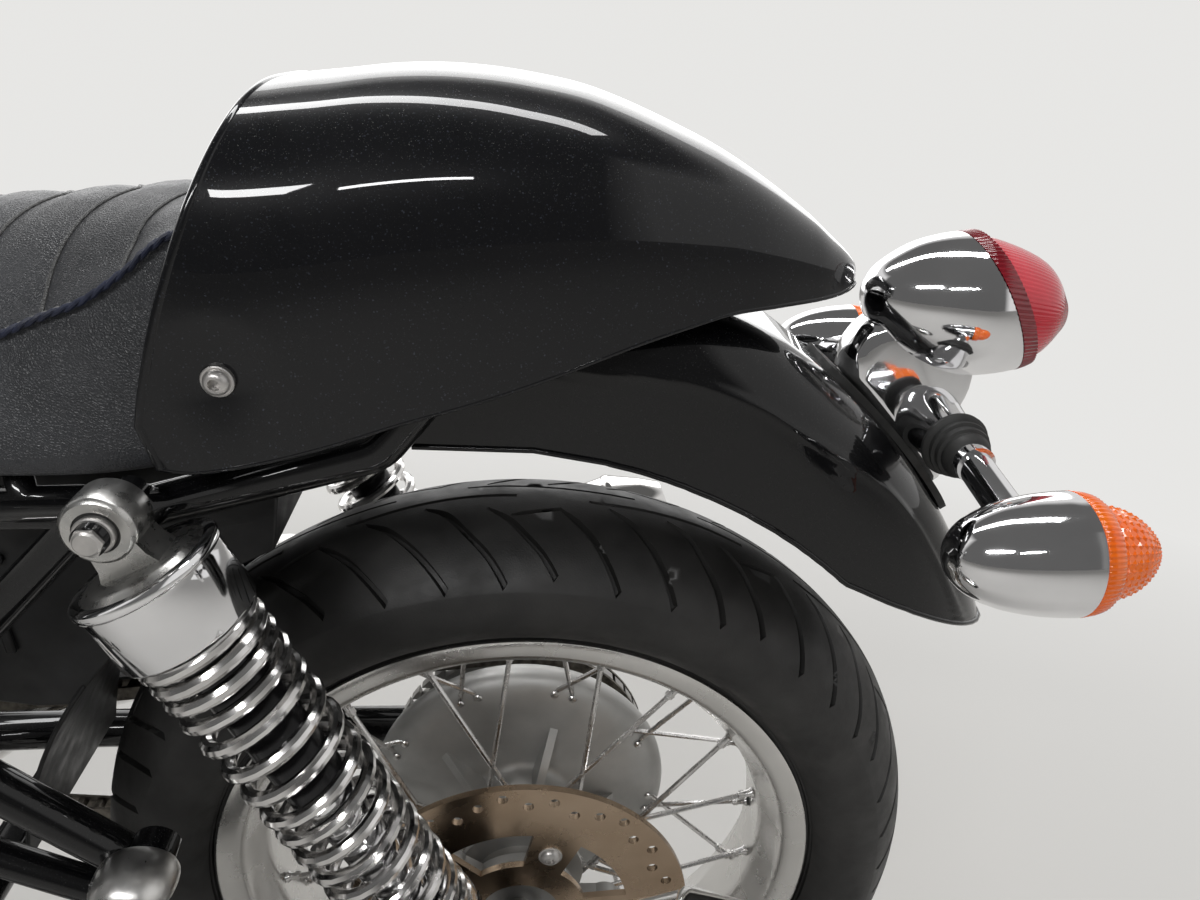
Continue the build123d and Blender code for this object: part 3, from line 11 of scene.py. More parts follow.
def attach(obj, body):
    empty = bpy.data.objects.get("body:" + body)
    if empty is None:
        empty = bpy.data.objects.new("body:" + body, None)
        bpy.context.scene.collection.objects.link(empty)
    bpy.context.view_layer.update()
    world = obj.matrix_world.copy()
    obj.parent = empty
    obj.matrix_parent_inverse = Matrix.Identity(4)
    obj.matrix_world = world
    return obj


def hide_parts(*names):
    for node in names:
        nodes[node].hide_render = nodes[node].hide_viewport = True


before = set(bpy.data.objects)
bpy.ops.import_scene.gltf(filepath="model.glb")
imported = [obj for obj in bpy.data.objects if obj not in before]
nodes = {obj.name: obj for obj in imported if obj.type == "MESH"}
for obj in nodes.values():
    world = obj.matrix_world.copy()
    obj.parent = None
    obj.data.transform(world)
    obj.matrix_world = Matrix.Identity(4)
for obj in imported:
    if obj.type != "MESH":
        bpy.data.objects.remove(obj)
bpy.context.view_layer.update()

# TYRES
# Black rubber on both wheels. Swept grooves run from the shoulders to a pair of long thin
# ones at the middle, the right side half a step behind the left. The walls are smooth.

# Everything is drawn upright in millimetres, then leant over on to the side stand
LEANING = Matrix.Translation((-0.720, -0.120, 0.00067)) @ Matrix.Rotation(-radians(7.5), 4, "X")
PARKED = LEANING @ Matrix.Scale(0.001, 4)
SHARP = radians(32)        # steeper folds than this stay sharp
WELD = 0.01                # points closer than this, in millimetres, become one
# The middle of each wheel's axle
AXLES = {"rear": (0, 0, 320), "front": (1490, 0, 318.6)}


def new_mesh(name, shapes, sharp=SHARP):
    """One mesh from several (points, faces) shapes, drawn upright in millimetres and then parked."""
    points, faces = [], []
    for shape_points, shape_faces in shapes:
        start = len(points)
        points += [tuple(p) for p in shape_points]
        faces += [[start + i for i in face] for face in shape_faces]
    mesh = bpy.data.meshes.new(name)
    mesh.from_pydata(points, [], faces)
    work = bmesh.new()
    work.from_mesh(mesh)
    bmesh.ops.remove_doubles(work, verts=work.verts, dist=WELD)
    bmesh.ops.recalc_face_normals(work, faces=work.faces)
    work.to_mesh(mesh)
    work.free()
    mesh.transform(PARKED)
    mesh.shade_smooth()
    mesh.set_sharp_from_angle(angle=sharp)
    return mesh


def add_piece(name, mesh, finish, body, replaced=()):
    """Puts a finished mesh on its body, in place of the plain nodes that it stands for."""
    piece = bpy.data.objects.new(name, mesh)
    bpy.context.scene.collection.objects.link(piece)
    mesh.materials.clear()
    mesh.materials.append(finish)
    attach(piece, body)
    if replaced:
        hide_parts(*replaced)
    return piece


def add_shapes(name, shapes, finish, body, replaced=(), sharp=SHARP):
    """A piece drawn from (points, faces) shapes."""
    return add_piece(name, new_mesh(name, shapes, sharp), finish, body, replaced)


def ring_faces(rows, count, closed=False, ends=True):
    """Faces round a stack of equal rings, closed on itself or with a flat face at each end."""
    faces = []
    for row in range(rows if closed else rows - 1):
        here, above = row * count, (row + 1) % rows * count
        for i in range(count):
            after = (i + 1) % count
            faces.append([here + i, here + after, above + after, above + i])
    if ends and not closed:
        faces += [list(range(count)), list(range((rows - 1) * count, rows * count))]
    return faces


def lathe(outline, centre, axis, steps, closed=True):
    """A turned shape from (height, radius) points, about an axis through a centre."""
    axis = Vector(axis).normalized()
    side = axis.orthogonal().normalized()
    other = axis.cross(side)
    points = []
    for height, radius in outline:
        for step in range(steps):
            angle = 2 * pi * step / steps
            points.append(Vector(centre) + axis * height + (side * cos(angle) + other * sin(angle)) * radius)
    return points, ring_faces(len(outline), steps, closed)


def bar(points, radius, sides):
    """A round bar along a line of points."""
    points = [Vector(p) for p in points]
    heading = (points[1] - points[0]).normalized()
    across = heading.orthogonal().normalized()
    rings = []
    for number, point in enumerate(points):
        before = points[max(number - 1, 0)]
        after = points[min(number + 1, len(points) - 1)]
        heading = (after - before).normalized()
        across = (across - heading * across.dot(heading)).normalized()
        up = heading.cross(across)
        for side in range(sides):
            angle = 2 * pi * side / sides
            rings.append(point + (across * cos(angle) + up * sin(angle)) * radius)
    return rings, ring_faces(len(points), sides)


def arc_through(a, b, c, count):
    """Points of the circle's arc from a to c by way of b, in a plane."""
    ax, ay, bx, by, cx, cy = *a, *b, *c
    d = 2 * (ax * (by - cy) + bx * (cy - ay) + cx * (ay - by))
    aa, bb, cc = ax * ax + ay * ay, bx * bx + by * by, cx * cx + cy * cy
    ox = (aa * (by - cy) + bb * (cy - ay) + cc * (ay - by)) / d
    oy = (aa * (cx - bx) + bb * (ax - cx) + cc * (bx - ax)) / d
    radius = hypot(ax - ox, ay - oy)
    start, middle, end = (atan2(y - oy, x - ox) for x, y in (a, b, c))
    turn = (end - start) % (2 * pi)
    if (middle - start) % (2 * pi) > turn:
        turn -= 2 * pi
    return [(ox + radius * cos(start + turn * i / count), oy + radius * sin(start + turn * i / count))
            for i in range(count + 1)]


def node_finish(name, colour, metallic=0.0, roughness=0.5, **sockets):
    """A principled material, its tree and its shader, to which each finish adds its own nodes."""
    finish = bpy.data.materials.new(name)
    finish.use_nodes = True
    tree = finish.node_tree
    shader = tree.nodes["Principled BSDF"]
    shader.inputs["Base Color"].default_value = (*colour, 1)
    shader.inputs["Metallic"].default_value = metallic
    shader.inputs["Roughness"].default_value = roughness
    for socket, value in sockets.items():
        shader.inputs[socket.replace("_", " ")].default_value = value
    finish.diffuse_color = (*colour, 1)
    return finish, tree, shader


def own_coordinates(tree):
    """The piece's own coordinates, in metres."""
    return tree.nodes.new("ShaderNodeTexCoord").outputs["Object"]


def noise(tree, scale, detail=3.0, rough=0.5):
    """A noise on the piece's own coordinates."""
    pattern = tree.nodes.new("ShaderNodeTexNoise")
    pattern.inputs["Scale"].default_value = scale
    pattern.inputs["Detail"].default_value = detail
    pattern.inputs["Roughness"].default_value = rough
    tree.links.new(own_coordinates(tree), pattern.inputs["Vector"])
    return pattern.outputs["Fac"]


def spread(tree, source, low, high, start=0.3, end=0.7):
    """A source from start to end mapped on to low to high."""
    remap = tree.nodes.new("ShaderNodeMapRange")
    for socket, value in (("From Min", start), ("From Max", end), ("To Min", low), ("To Max", high)):
        remap.inputs[socket].default_value = value
    tree.links.new(source, remap.inputs["Value"])
    return remap.outputs["Result"]


def joined(tree, operation, first, second):
    """One value from two, by an operation such as MULTIPLY."""
    node = tree.nodes.new("ShaderNodeMath")
    node.operation = operation
    tree.links.new(first, node.inputs[0])
    tree.links.new(second, node.inputs[1])
    return node.outputs["Value"]


def two_tone(tree, source, first, second):
    """A colour between two as the source goes from 0 to 1; the first may come from another node."""
    mix = tree.nodes.new("ShaderNodeMix")
    mix.data_type = "RGBA"
    if isinstance(first, tuple):
        mix.inputs["A"].default_value = (*first, 1)
    else:
        tree.links.new(first, mix.inputs["A"])
    mix.inputs["B"].default_value = (*second, 1)
    tree.links.new(source, mix.inputs["Factor"])
    return mix.outputs["Result"]


def bump(tree, shader, source, depth):
    """A bump of a depth in metres, on top of any that the shader has."""
    lift = tree.nodes.new("ShaderNodeBump")
    lift.inputs["Distance"].default_value = depth
    lift.inputs["Strength"].default_value = 1.0
    tree.links.new(source, lift.inputs["Height"])
    if shader.inputs["Normal"].links:
        tree.links.new(shader.inputs["Normal"].links[0].from_socket, lift.inputs["Normal"])
    tree.links.new(lift.outputs["Normal"], shader.inputs["Normal"])


def mottled(name, dark, light, scale, metallic=0.0, roughness=(0.3, 0.5), grain=None, **sockets):
    """A finish that wanders between two colours and two roughnesses, with an optional fine grain."""
    finish, tree, shader = node_finish(name, light, metallic, roughness[0], **sockets)
    cloud = spread(tree, noise(tree, scale, 4), 0, 1)
    tree.links.new(two_tone(tree, cloud, dark, light), shader.inputs["Base Color"])
    patches = noise(tree, scale * 1.7, 5, 0.6)
    tree.links.new(spread(tree, patches, *roughness), shader.inputs["Roughness"])
    if grain:
        grain_scale, depth = grain
        bump(tree, shader, noise(tree, grain_scale, 3), depth)
    return finish


tyre_rubber = mottled("tyre_rubber", (0.010, 0.0098, 0.0095), (0.024, 0.023, 0.022), 24,
                      roughness=(0.42, 0.66), grain=(900, 0.00012))

TREAD_STEP = 30            # degrees of one repeat
TREAD_TURN = 58            # degrees, so that the grooves at the top stand as photographed
GROOVE_DEPTH = 5.0
GROOVE_WALL = 1.1
GROOVE_EDGE = 66.5         # millimetres left of the middle at which the table's tread ends
GROOVE_REACH = 170         # no groove sinks a point further from its start than this
BEAD_INSET = 4.3           # from the rim's lip to the tyre's bead
# Grooves of one repeat on the left side: width, then (degrees, millimetres left of the middle)
GROOVES = [
    (4.6, [(0.0, 18.6), (2.4, 28.0), (4.5, 39.8), (6.4, 49.6), (8.2, 60.5)]),
    (3.2, [(2.8, 24.5), (8.6, 18.8)]),
    (4.6, [(8.6, 18.8), (10.6, 28.0), (12.9, 40.4), (14.5, 51.0), (16.5, 64.0)]),
    (4.8, [(14.8, 13.8), (17.5, 23.4), (20.3, 39.1), (22.5, 52.6), (24.3, 64.0)]),
    (4.8, [(22.4, 12.8), (24.9, 20.5), (27.4, 36.6), (29.9, 51.0), (31.8, 63.8)]),
    (3.0, [(9.6, 8.6), (14.4, 8.8), (20.5, 6.6), (27.3, 5.2), (33.2, 6.0)]),
]
# Where one repeat ends and the next begins, clear of every groove, from the left edge to the middle
TREAD_JOIN = [(5.2, 66.4), (3.2, 50.0), (0.7, 37.0), (-2.4, 20.0), (-2.6, 14.0), (2.0, 12.6), (6.6, 10.0),
              (6.6, 0.0)]


def groove_line(points, count):
    """A groove's middle line, resampled evenly along a smooth curve through its points."""
    found = []
    for index in range(len(points) - 1):
        p0, p1 = Vector(points[max(index - 1, 0)]), Vector(points[index])
        p2, p3 = Vector(points[index + 1]), Vector(points[min(index + 2, len(points) - 1)])
        for step in range(count):
            t = step / count
            found.append(0.5 * (2 * p1 + (p2 - p0) * t + (2 * p0 - 5 * p1 + 4 * p2 - p3) * t * t
                                + (3 * p1 - 3 * p2 + p3 - p0) * t ** 3))
    return found + [Vector(points[-1])]


def groove_taper(share):
    """A groove's width at a share of its length, as a part of its full width."""
    return 0.45 + 0.55 * min(1, 4 * share)


class TyreShape:
    """The outline of a tyre's outside, and where a point of its unrolled tread lies in space."""

    def __init__(self, axle, side, shoulder, lip, seat_r):
        self.centre = Vector(axle)
        self.radius = radius = axle[2]
        self.shoulder, self.lip, self.seat_r = shoulder, lip, seat_r
        crown = (0.55 * shoulder[0], radius - 0.28 * (radius - shoulder[1]))
        self.crown = arc_through((0, radius), crown, shoulder, 24)
        self.wall = arc_through(shoulder, side, (lip[0] - BEAD_INSET, lip[1] + 2), 12)

    def tread_radius(self, y):
        y = min(abs(y), self.shoulder[0])
        for (y0, r0), (y1, r1) in zip(self.crown, self.crown[1:]):
            if y <= y1:
                return r0 + (r1 - r0) * (y - y0) / (y1 - y0)
        return self.shoulder[1]

    def on_tread(self, degrees_round, y, depth):
        """A point of the tread, sunk by a depth along the tread's own normal."""
        slope = self.tread_radius(y + 0.5) - self.tread_radius(y - 0.5)
        fall = hypot(1, slope)
        r = self.tread_radius(y) - depth / fall
        return self.ring_point(degrees_round, y + depth * slope / fall, r)

    def ring_point(self, degrees_round, y, r):
        angle = radians(degrees_round)
        return self.centre + Vector((r * cos(angle), y, r * sin(angle)))


def tyre_shapes(tyre):
    """The tread's repeats, the smooth walls and the hidden inside of one tyre."""
    edge = tyre.shoulder[0]
    scale = edge / GROOVE_EDGE
    mm_per_degree = radians(1) * tyre.radius
    lines = []
    for width, points in GROOVES:
        for shift in (-TREAD_STEP, 0, TREAD_STEP):
            left = groove_line(points, 5)
            lines.append((width, [Vector(((x + shift) * mm_per_degree, y * scale)) for x, y in left]))
            lines.append((width, [Vector(((x + shift + TREAD_STEP / 2) * mm_per_degree, -y * scale))
                                  for x, y in left]))

    def depth_at(point):
        deepest = 0.0
        for width, line in lines:
            if abs(line[0].x - point.x) > GROOVE_REACH:
                continue
            for number, (a, b) in enumerate(zip(line, line[1:])):
                run = b - a
                t = max(0.0, min(1.0, (point - a).dot(run) / run.length_squared))
                along = (number + t) / (len(line) - 1)
                half = width / 2 * groove_taper(along)
                inside = half - (point - a - run * t).length
                deepest = max(deepest, min(1.0, max(0.0, inside / GROOVE_WALL)))
        return deepest * GROOVE_DEPTH

    join = [Vector((x * mm_per_degree, y * scale)) for x, y in TREAD_JOIN]
    join += [Vector((p.x - TREAD_STEP / 2 * mm_per_degree, -p.y)) for p in reversed(join)]
    join_points = []
    for a, b in zip(join, join[1:]):
        pieces = max(1, round((b - a).length / 6))
        join_points += [a + (b - a) * (i / pieces) for i in range(pieces)]
    join_points.append(join[-1])
    join_points[0].y, join_points[-1].y = edge, -edge
    step = TREAD_STEP * mm_per_degree
    edge_count = 12
    left_edge = [join_points[0] + Vector((step * i / edge_count, 0)) for i in range(1, edge_count)]
    right_edge = [join_points[-1] + Vector((step * i / edge_count, 0)) for i in range(edge_count - 1, 0, -1)]
    rim = join_points[::-1] + left_edge + [p + Vector((step, 0)) for p in join_points] + right_edge
    points, edges = list(rim), []
    edges += [(i, (i + 1) % len(rim)) for i in range(len(rim))]
    for width, line in lines:
        for inset in (0, GROOVE_WALL):
            outline = []
            for side in (1, -1):
                order = range(len(line)) if side > 0 else range(len(line) - 1, -1, -1)
                for i in order:
                    a, b = line[max(i - 1, 0)], line[min(i + 1, len(line) - 1)]
                    normal = Vector((-(b - a).y, (b - a).x)).normalized()
                    half = width / 2 * groove_taper(i / (len(line) - 1)) - inset
                    push = (b - a).normalized() * ((width / 2 - inset) * 0.5)
                    push = push if i == len(line) - 1 else (-push if i == 0 else Vector((0, 0)))
                    if half > 0.15:
                        outline.append(line[i] + normal * half * side + push)
            start = len(points)
            points += outline
            edges += [(start + i, start + (i + 1) % len(outline)) for i in range(len(outline))]
    low = min(p.x for p in rim)
    for column in range(36):
        for row in range(-8, 9):
            points.append(Vector((low + column * step / 20, row * edge / 9)))
    found, _, triangles, _, _, _ = delaunay_2d_cdt(points, edges, [list(range(len(rim)))], 1, 0.02)
    first = [tyre.on_tread(p.x / mm_per_degree + TREAD_TURN, p.y, depth_at(p)) for p in found]
    shapes = [(first, triangles)]
    for repeat in range(1, 360 // TREAD_STEP):
        spin = Matrix.Rotation(-radians(repeat * TREAD_STEP), 4, "Y")
        shapes.append(([tyre.centre + spin @ (p - tyre.centre) for p in first], triangles))
    for side, start in ((1, join_points[0].x), (-1, join_points[-1].x)):
        bead, edge_r = tyre.lip[0] - BEAD_INSET, tyre.shoulder[1]
        outline = [tyre.wall[0], (tyre.wall[0][0] + 0.5, tyre.wall[0][1] - 1.2)]
        outline += [(y + 0.3, r) for y, r in tyre.wall[1:-1]]
        outline += [(bead + 2.6, tyre.lip[1] + 9), (bead + 2.2, tyre.lip[1] + 3), (bead, tyre.lip[1] + 2),
                    (bead, tyre.seat_r + 0.3), (bead - 9, tyre.seat_r + 0.3), (bead - 9, tyre.lip[1] + 2),
                    (edge - 10, edge_r - 6), (0.5 * edge, edge_r + 10), (0, tyre.radius - 9)]
        count = 360 // TREAD_STEP * edge_count
        points = [tyre.ring_point(start / mm_per_degree + TREAD_TURN + 360 * i / count, side * y, r)
                  for y, r in outline for i in range(count)]
        shapes.append((points, ring_faces(len(outline), count, ends=False)))
    return shapes


# One row for each wheel: the tyre's side, its shoulder, the rim's lip, the bead seat's radius
TYRES = [("rear", (69, 262), (66.5, 283), (50.5, 231), 216),
         ("front", (50.5, 272), (47, 291), (36, 243.5), 229)]
for end, *sizes in TYRES:
    tyre = TyreShape(AXLES[end], *sizes)
    add_shapes(f"{end}_tyre_rubber", tyre_shapes(tyre), tyre_rubber, f"{end}_wheel",
               [f"{end}_tyre"])

# RIMS
# Wide satin alloy rims, each drawn as one rolled channel with a flat band for the spokes.
# Mottling and a fine grain break up the shine.

rim_alloy = mottled("rim_alloy", (0.62, 0.61, 0.59), (0.72, 0.71, 0.69), 12, 1.0, (0.20, 0.32),
                    (1400, 0.00002))

for end, _, _, (lip_y, lip_r), seat_r in TYRES:
    band_r, well = seat_r - 18, min(22, lip_y - 16)
    face = [(0, band_r), (well - 4, band_r), (well, band_r + 0.6), (well + 3.5, band_r + 3),
            (lip_y - 14, seat_r - 7.2), (lip_y - 8, seat_r - 5.4), (lip_y - 4.6, seat_r - 4.2),
            (lip_y - 1.8, seat_r - 1.4), (lip_y - 0.5, seat_r + 2.5), (lip_y - 0.2, lip_r - 5),
            (lip_y, lip_r - 2), (lip_y - 0.5, lip_r - 0.6), (lip_y - 2, lip_r), (lip_y - 3.5, lip_r - 0.6),
            (lip_y - 4, lip_r - 2), (lip_y - 4, seat_r), (well + 4, seat_r - 1), (well - 4, band_r + 4),
            (0, band_r + 4)]
    closed = face + [(-y, r) for y, r in reversed(face[1:-1])]
    add_shapes(f"{end}_rim_channel", [lathe(closed, AXLES[end], (0, 1, 0), 180)], rim_alloy, f"{end}_wheel",
               [f"{end}_rim"])

# HUBS AND SPOKES
# Cast alloy hubs, the rear one with its wide drum on the right and gusset ribs on the drum's
# inner face. The spokes are steel wire with bent heads, screwed into squared nipples.

cast_alloy = mottled("cast_alloy", (0.42, 0.42, 0.41), (0.56, 0.555, 0.54), 22, 0.75, (0.42, 0.58),
                     (1500, 0.00008))
spoke_steel = mottled("spoke_steel", (0.52, 0.51, 0.50), (0.72, 0.71, 0.70), 60, 1.0, (0.18, 0.34))


def prism(outline, origin, u, v, depth):
    """A flat plate: an outline of (u, v) points in a plane, carried through a depth vector."""
    origin, u, v, depth = Vector(origin), Vector(u), Vector(v), Vector(depth)
    foot = [origin + u * a + v * b for a, b in outline]
    count = len(foot)
    faces = [list(range(count)), list(range(count, 2 * count))]
    faces += [[i, (i + 1) % count, count + (i + 1) % count, count + i] for i in range(count)]
    return foot + [p + depth for p in foot], faces


def spun(outline, steps):
    """A turned template about its own z, for copies."""
    return lathe(outline, (0, 0, 0), (0, 0, 1), steps)


def slab(outline, z, height):
    """A flat template lying across its own z, for copies."""
    return prism(outline, (0, 0, z), (1, 0, 0), (0, 1, 0), (0, 0, height))


def pointing(place, direction):
    """The placing of a template whose own z points in a direction."""
    return Matrix.Translation(Vector(place)) @ Vector(direction).to_track_quat("Z", "Y").to_matrix().to_4x4()


def repeated(name, template, places, finish, sharp=SHARP):
    """Copies of one template, a copy at each place, instanced by Geometry Nodes into one plain mesh."""
    model = bpy.data.objects.new(name + "_template", new_mesh(name + "_template", template, sharp))
    model.data.transform(PARKED.inverted())
    points = bpy.data.meshes.new(name + "_points")
    parked = [PARKED @ place for place in places]
    points.from_pydata([p.translation for p in parked], [], [])
    points.attributes.new("turn", "FLOAT_VECTOR", "POINT")
    points.attributes.new("size", "FLOAT", "POINT")
    turns = [angle for p in parked for angle in p.normalized().to_euler()]
    points.attributes["turn"].data.foreach_set("vector", turns)
    points.attributes["size"].data.foreach_set("value", [p.to_scale().x for p in parked])
    carrier = bpy.data.objects.new(name + "_carrier", points)
    for thing in (model, carrier):
        bpy.context.scene.collection.objects.link(thing)
    tree = bpy.data.node_groups.new(name + "_copies", "GeometryNodeTree")
    tree.interface.new_socket("Places", in_out="INPUT", socket_type="NodeSocketGeometry")
    wanted = tree.interface.new_socket("Template", in_out="INPUT", socket_type="NodeSocketObject")
    surface = tree.interface.new_socket("Finish", in_out="INPUT", socket_type="NodeSocketMaterial")
    tree.interface.new_socket("Copies", in_out="OUTPUT", socket_type="NodeSocketGeometry")
    given, result = tree.nodes.new("NodeGroupInput"), tree.nodes.new("NodeGroupOutput")
    source = tree.nodes.new("GeometryNodeObjectInfo")
    instances = tree.nodes.new("GeometryNodeInstanceOnPoints")
    whole = tree.nodes.new("GeometryNodeRealizeInstances")
    coat = tree.nodes.new("GeometryNodeSetMaterial")
    tree.links.new(given.outputs["Places"], instances.inputs["Points"])
    tree.links.new(given.outputs["Template"], source.inputs["Object"])
    tree.links.new(source.outputs["Geometry"], instances.inputs["Instance"])
    for attribute, kind, socket in (("turn", "FLOAT_VECTOR", "Rotation"), ("size", "FLOAT", "Scale")):
        reader = tree.nodes.new("GeometryNodeInputNamedAttribute")
        reader.data_type = kind
        reader.inputs["Name"].default_value = attribute
        tree.links.new(reader.outputs["Attribute"], instances.inputs[socket])
    tree.links.new(instances.outputs["Instances"], whole.inputs["Geometry"])
    tree.links.new(whole.outputs["Geometry"], coat.inputs["Geometry"])
    tree.links.new(given.outputs["Finish"], coat.inputs["Material"])
    tree.links.new(coat.outputs["Geometry"], result.inputs["Copies"])
    modifier = carrier.modifiers.new("copies", "NODES")
    modifier.node_group = tree
    modifier[wanted.identifier] = model
    modifier[surface.identifier] = finish
    mesh = bpy.data.meshes.new_from_object(carrier.evaluated_get(bpy.context.evaluated_depsgraph_get()))
    for thing in (model, carrier):
        bpy.data.objects.remove(thing)
    mesh.name = name
    mesh.shade_smooth()
    mesh.set_sharp_from_angle(angle=sharp)
    return mesh


def add_copies(name, template, places, finish, body, sharp=SHARP):
    """A piece made of copies of one small shape, such as bolts."""
    add_piece(name, repeated(name, template, places, finish, sharp), finish, body)


REAR_HUB = [(-85.7, 10.1), (-85.7, 51), (-84.7, 52), (-57, 52), (-56, 53), (-56, 121), (-55, 124.5),
            (-51.5, 126.6), (-46, 127), (-41, 125.8), (-37, 122.5), (-34.2, 117.5), (-32.4, 111),
            (-31.2, 105), (-30.4, 96), (-28, 70), (-25, 46), (-22, 40.5), (-16, 38), (20, 34), (40, 32),
            (43, 34), (44, 47), (45, 49.6), (47, 50.3), (49, 49.6), (50, 47), (52, 36), (60, 34), (63, 36),
            (64, 43), (75.7, 44), (76.7, 43), (76.7, 10.1)]
FRONT_HUB = [(-45, 9.1), (-45, 23.5), (-37, 24), (-36, 26), (-36, 49), (-35, 50), (-31, 50), (-30, 49),
             (-29, 32), (-26, 30), (26, 30), (29, 32), (30, 49), (31, 50), (35, 50), (36, 49), (36.5, 38),
             (47, 55), (48.5, 56), (56.2, 56), (57.2, 55), (57.2, 9.1)]
RIB = [(-31, 84), (-31, 30), (8, 30), (4, 42)]
DISC_ARMS, BOLTS_R, LUG_R = 5, 65, 11
ARM_STEP = 360 / DISC_ARMS
ARM_TURNS = [112 + ARM_STEP * arm for arm in range(DISC_ARMS)]
SPOKES_PER_SIDE = 18
# One row for each side of each hub: band radius, flange y and radius, lead in degrees
SPOKES = [("rear", 198, 47, 47, 38), ("rear", 198, -36, 114, 14),
          ("front", 211, 33, 47, 38), ("front", 211, -33, 47, 38)]
lugs = []
for turn in map(radians, ARM_TURNS):
    out, round_it = Vector((cos(turn), 0, sin(turn))), Vector((-sin(turn), 0, cos(turn)))
    lugs.append(prism(RIB, Vector(AXLES["rear"]) - round_it * 3.5, (0, 1, 0), out, round_it * 7))
    lugs.append(lathe([(0, 0.1), (0, LUG_R - 1), (1, LUG_R), (12.7, LUG_R), (12.7, 0.1)],
                      Vector((0, 64, 320)) + out * BOLTS_R, (0, 1, 0), 24))
    lugs.append(prism([(-9, 30), (9, 30), (9, BOLTS_R), (-9, BOLTS_R)], (0, 64.5, 320), round_it, out,
                      (0, 11.6, 0)))
for end, outline, extra in (("rear", REAR_HUB, lugs), ("front", FRONT_HUB, [])):
    body = f"{end}_wheel"
    x, _, z = AXLES[end]
    wires, nipples, heads = [], [], []
    for owner, band_r, flange_y, flange_r, lead in SPOKES:
        if owner != end:
            continue
        side = 1 if flange_y > 0 else -1
        outward = Vector((0, side, 0))
        for number in range(SPOKES_PER_SIDE):
            rim_turn = 360 / SPOKES_PER_SIDE * (number + (0.5 if flange_y > 0 else 0))
            hub_turn = radians(rim_turn + (lead if number % 2 else -lead))
            rim_turn = radians(rim_turn)
            foot = Vector((x + flange_r * cos(hub_turn), flange_y, z + flange_r * sin(hub_turn)))
            tip = Vector((x + band_r * cos(rim_turn), side * 11, z + band_r * sin(rim_turn)))
            run = (tip - foot).normalized()
            heads.append(pointing(foot - outward * 3.5, (0, -side, 0)))
            line = [foot - outward * 4, foot + run - outward, foot + run * 4, tip - run * 2]
            wires.append(bar(line, 2.1, 8))
            nipples.append(pointing(tip - run * 1.5, -run))
    add_shapes(f"{end}_hub_casting", [lathe(outline, AXLES[end], (0, 1, 0), 96)] + extra, cast_alloy, body,
               [f"{end}_hub"], radians(40))
    add_shapes(f"{end}_spoke_wires", wires, spoke_steel, body)
    barrel = lathe([(-1, 4.2), (0.5, 4.6), (2, 3.6), (3, 3.1), (9, 2.8), (13, 2.5), (13.5, 1.9)], (0, 0, 0),
                   (0, 0, 1), 12, False)
    square = slab([(-2.6, -2.6), (2.6, -2.6), (2.6, 2.6), (-2.6, 2.6)], 7.5, 4)
    add_copies(f"{end}_spoke_nipples", [barrel, square], nipples, spoke_steel, body)
    head = spun([(0, 0.1), (0, 3.4), (0.8, 3.6), (1.8, 2.6), (2.2, 0.1)], 12)
    add_copies(f"{end}_spoke_heads", [head], heads, spoke_steel, body)

# BRAKE DISCS
# Flat steel rings, drilled through in five staggered rows, on an inner part with wide windows
# between its arms. A socket button bolt holds each arm of the rear one.

disc_steel = mottled("disc_steel", (0.34, 0.245, 0.165), (0.50, 0.385, 0.28), 16, 1.0, (0.20, 0.34),
                     (1800, 0.00002))
bolt_steel = mottled("bolt_steel", (0.44, 0.43, 0.42), (0.62, 0.60, 0.58), 90, 0.8, (0.30, 0.46))


def circle(cx, cy, radius, count):
    turns = [2 * pi * i / count for i in range(count)]
    return [(cx + radius * cos(turn), cy + radius * sin(turn)) for turn in turns]


def inside(point, outline):
    """Whether a point lies within an outline."""
    x, y = point
    found = False
    for (x0, y0), (x1, y1) in zip(outline, outline[1:] + outline[:1]):
        if (y0 > y) != (y1 > y) and x < (x1 - x0) * (y - y0) / (y1 - y0) + x0:
            found = not found
    return found


def pierced(outline, holes, origin, u, v, depth):
    """A flat plate with holes: outlines of (u, v) points in a plane, carried through a depth vector."""
    flat, edges = [], []
    for loop in [outline] + holes:
        start = len(flat)
        flat += [Vector(p) for p in loop]
        edges += [(start + i, start + (i + 1) % len(loop)) for i in range(len(loop))]
    found, _, triangles, _, _, _ = delaunay_2d_cdt(flat, edges, [], 1, 1e-4)
    keep = []
    for a, b, c in triangles:
        middle = (found[a] + found[b] + found[c]) / 3
        if inside(middle, outline) and not any(inside(middle, hole) for hole in holes):
            keep.append((a, b, c))
    origin, u, v, depth = Vector(origin), Vector(u), Vector(v), Vector(depth)
    count = len(found)
    points = [origin + u * p.x + v * p.y for p in found]
    points += [p + depth for p in points]
    faces = [list(t) for t in keep] + [[count + i for i in t] for t in keep]
    borders = dict.fromkeys((t[i], t[(i + 1) % 3]) for t in keep for i in range(3))
    for a, b in borders:
        if (b, a) not in borders:
            faces.append([a, b, count + b, count + a])
    return points, faces


HOLE_INSETS = (13.5, 8.5, 16.5, 11.5, 19.5)
HOLE_TURN, HOLES_PER_ROW, HOLE_R = 77, 8, 4
ARM_HALF, PER_RADIAN, NECK_R, WINDOW_FOOT, DISC_THICKNESS = 15.5, 57.3, 52, 50, 5
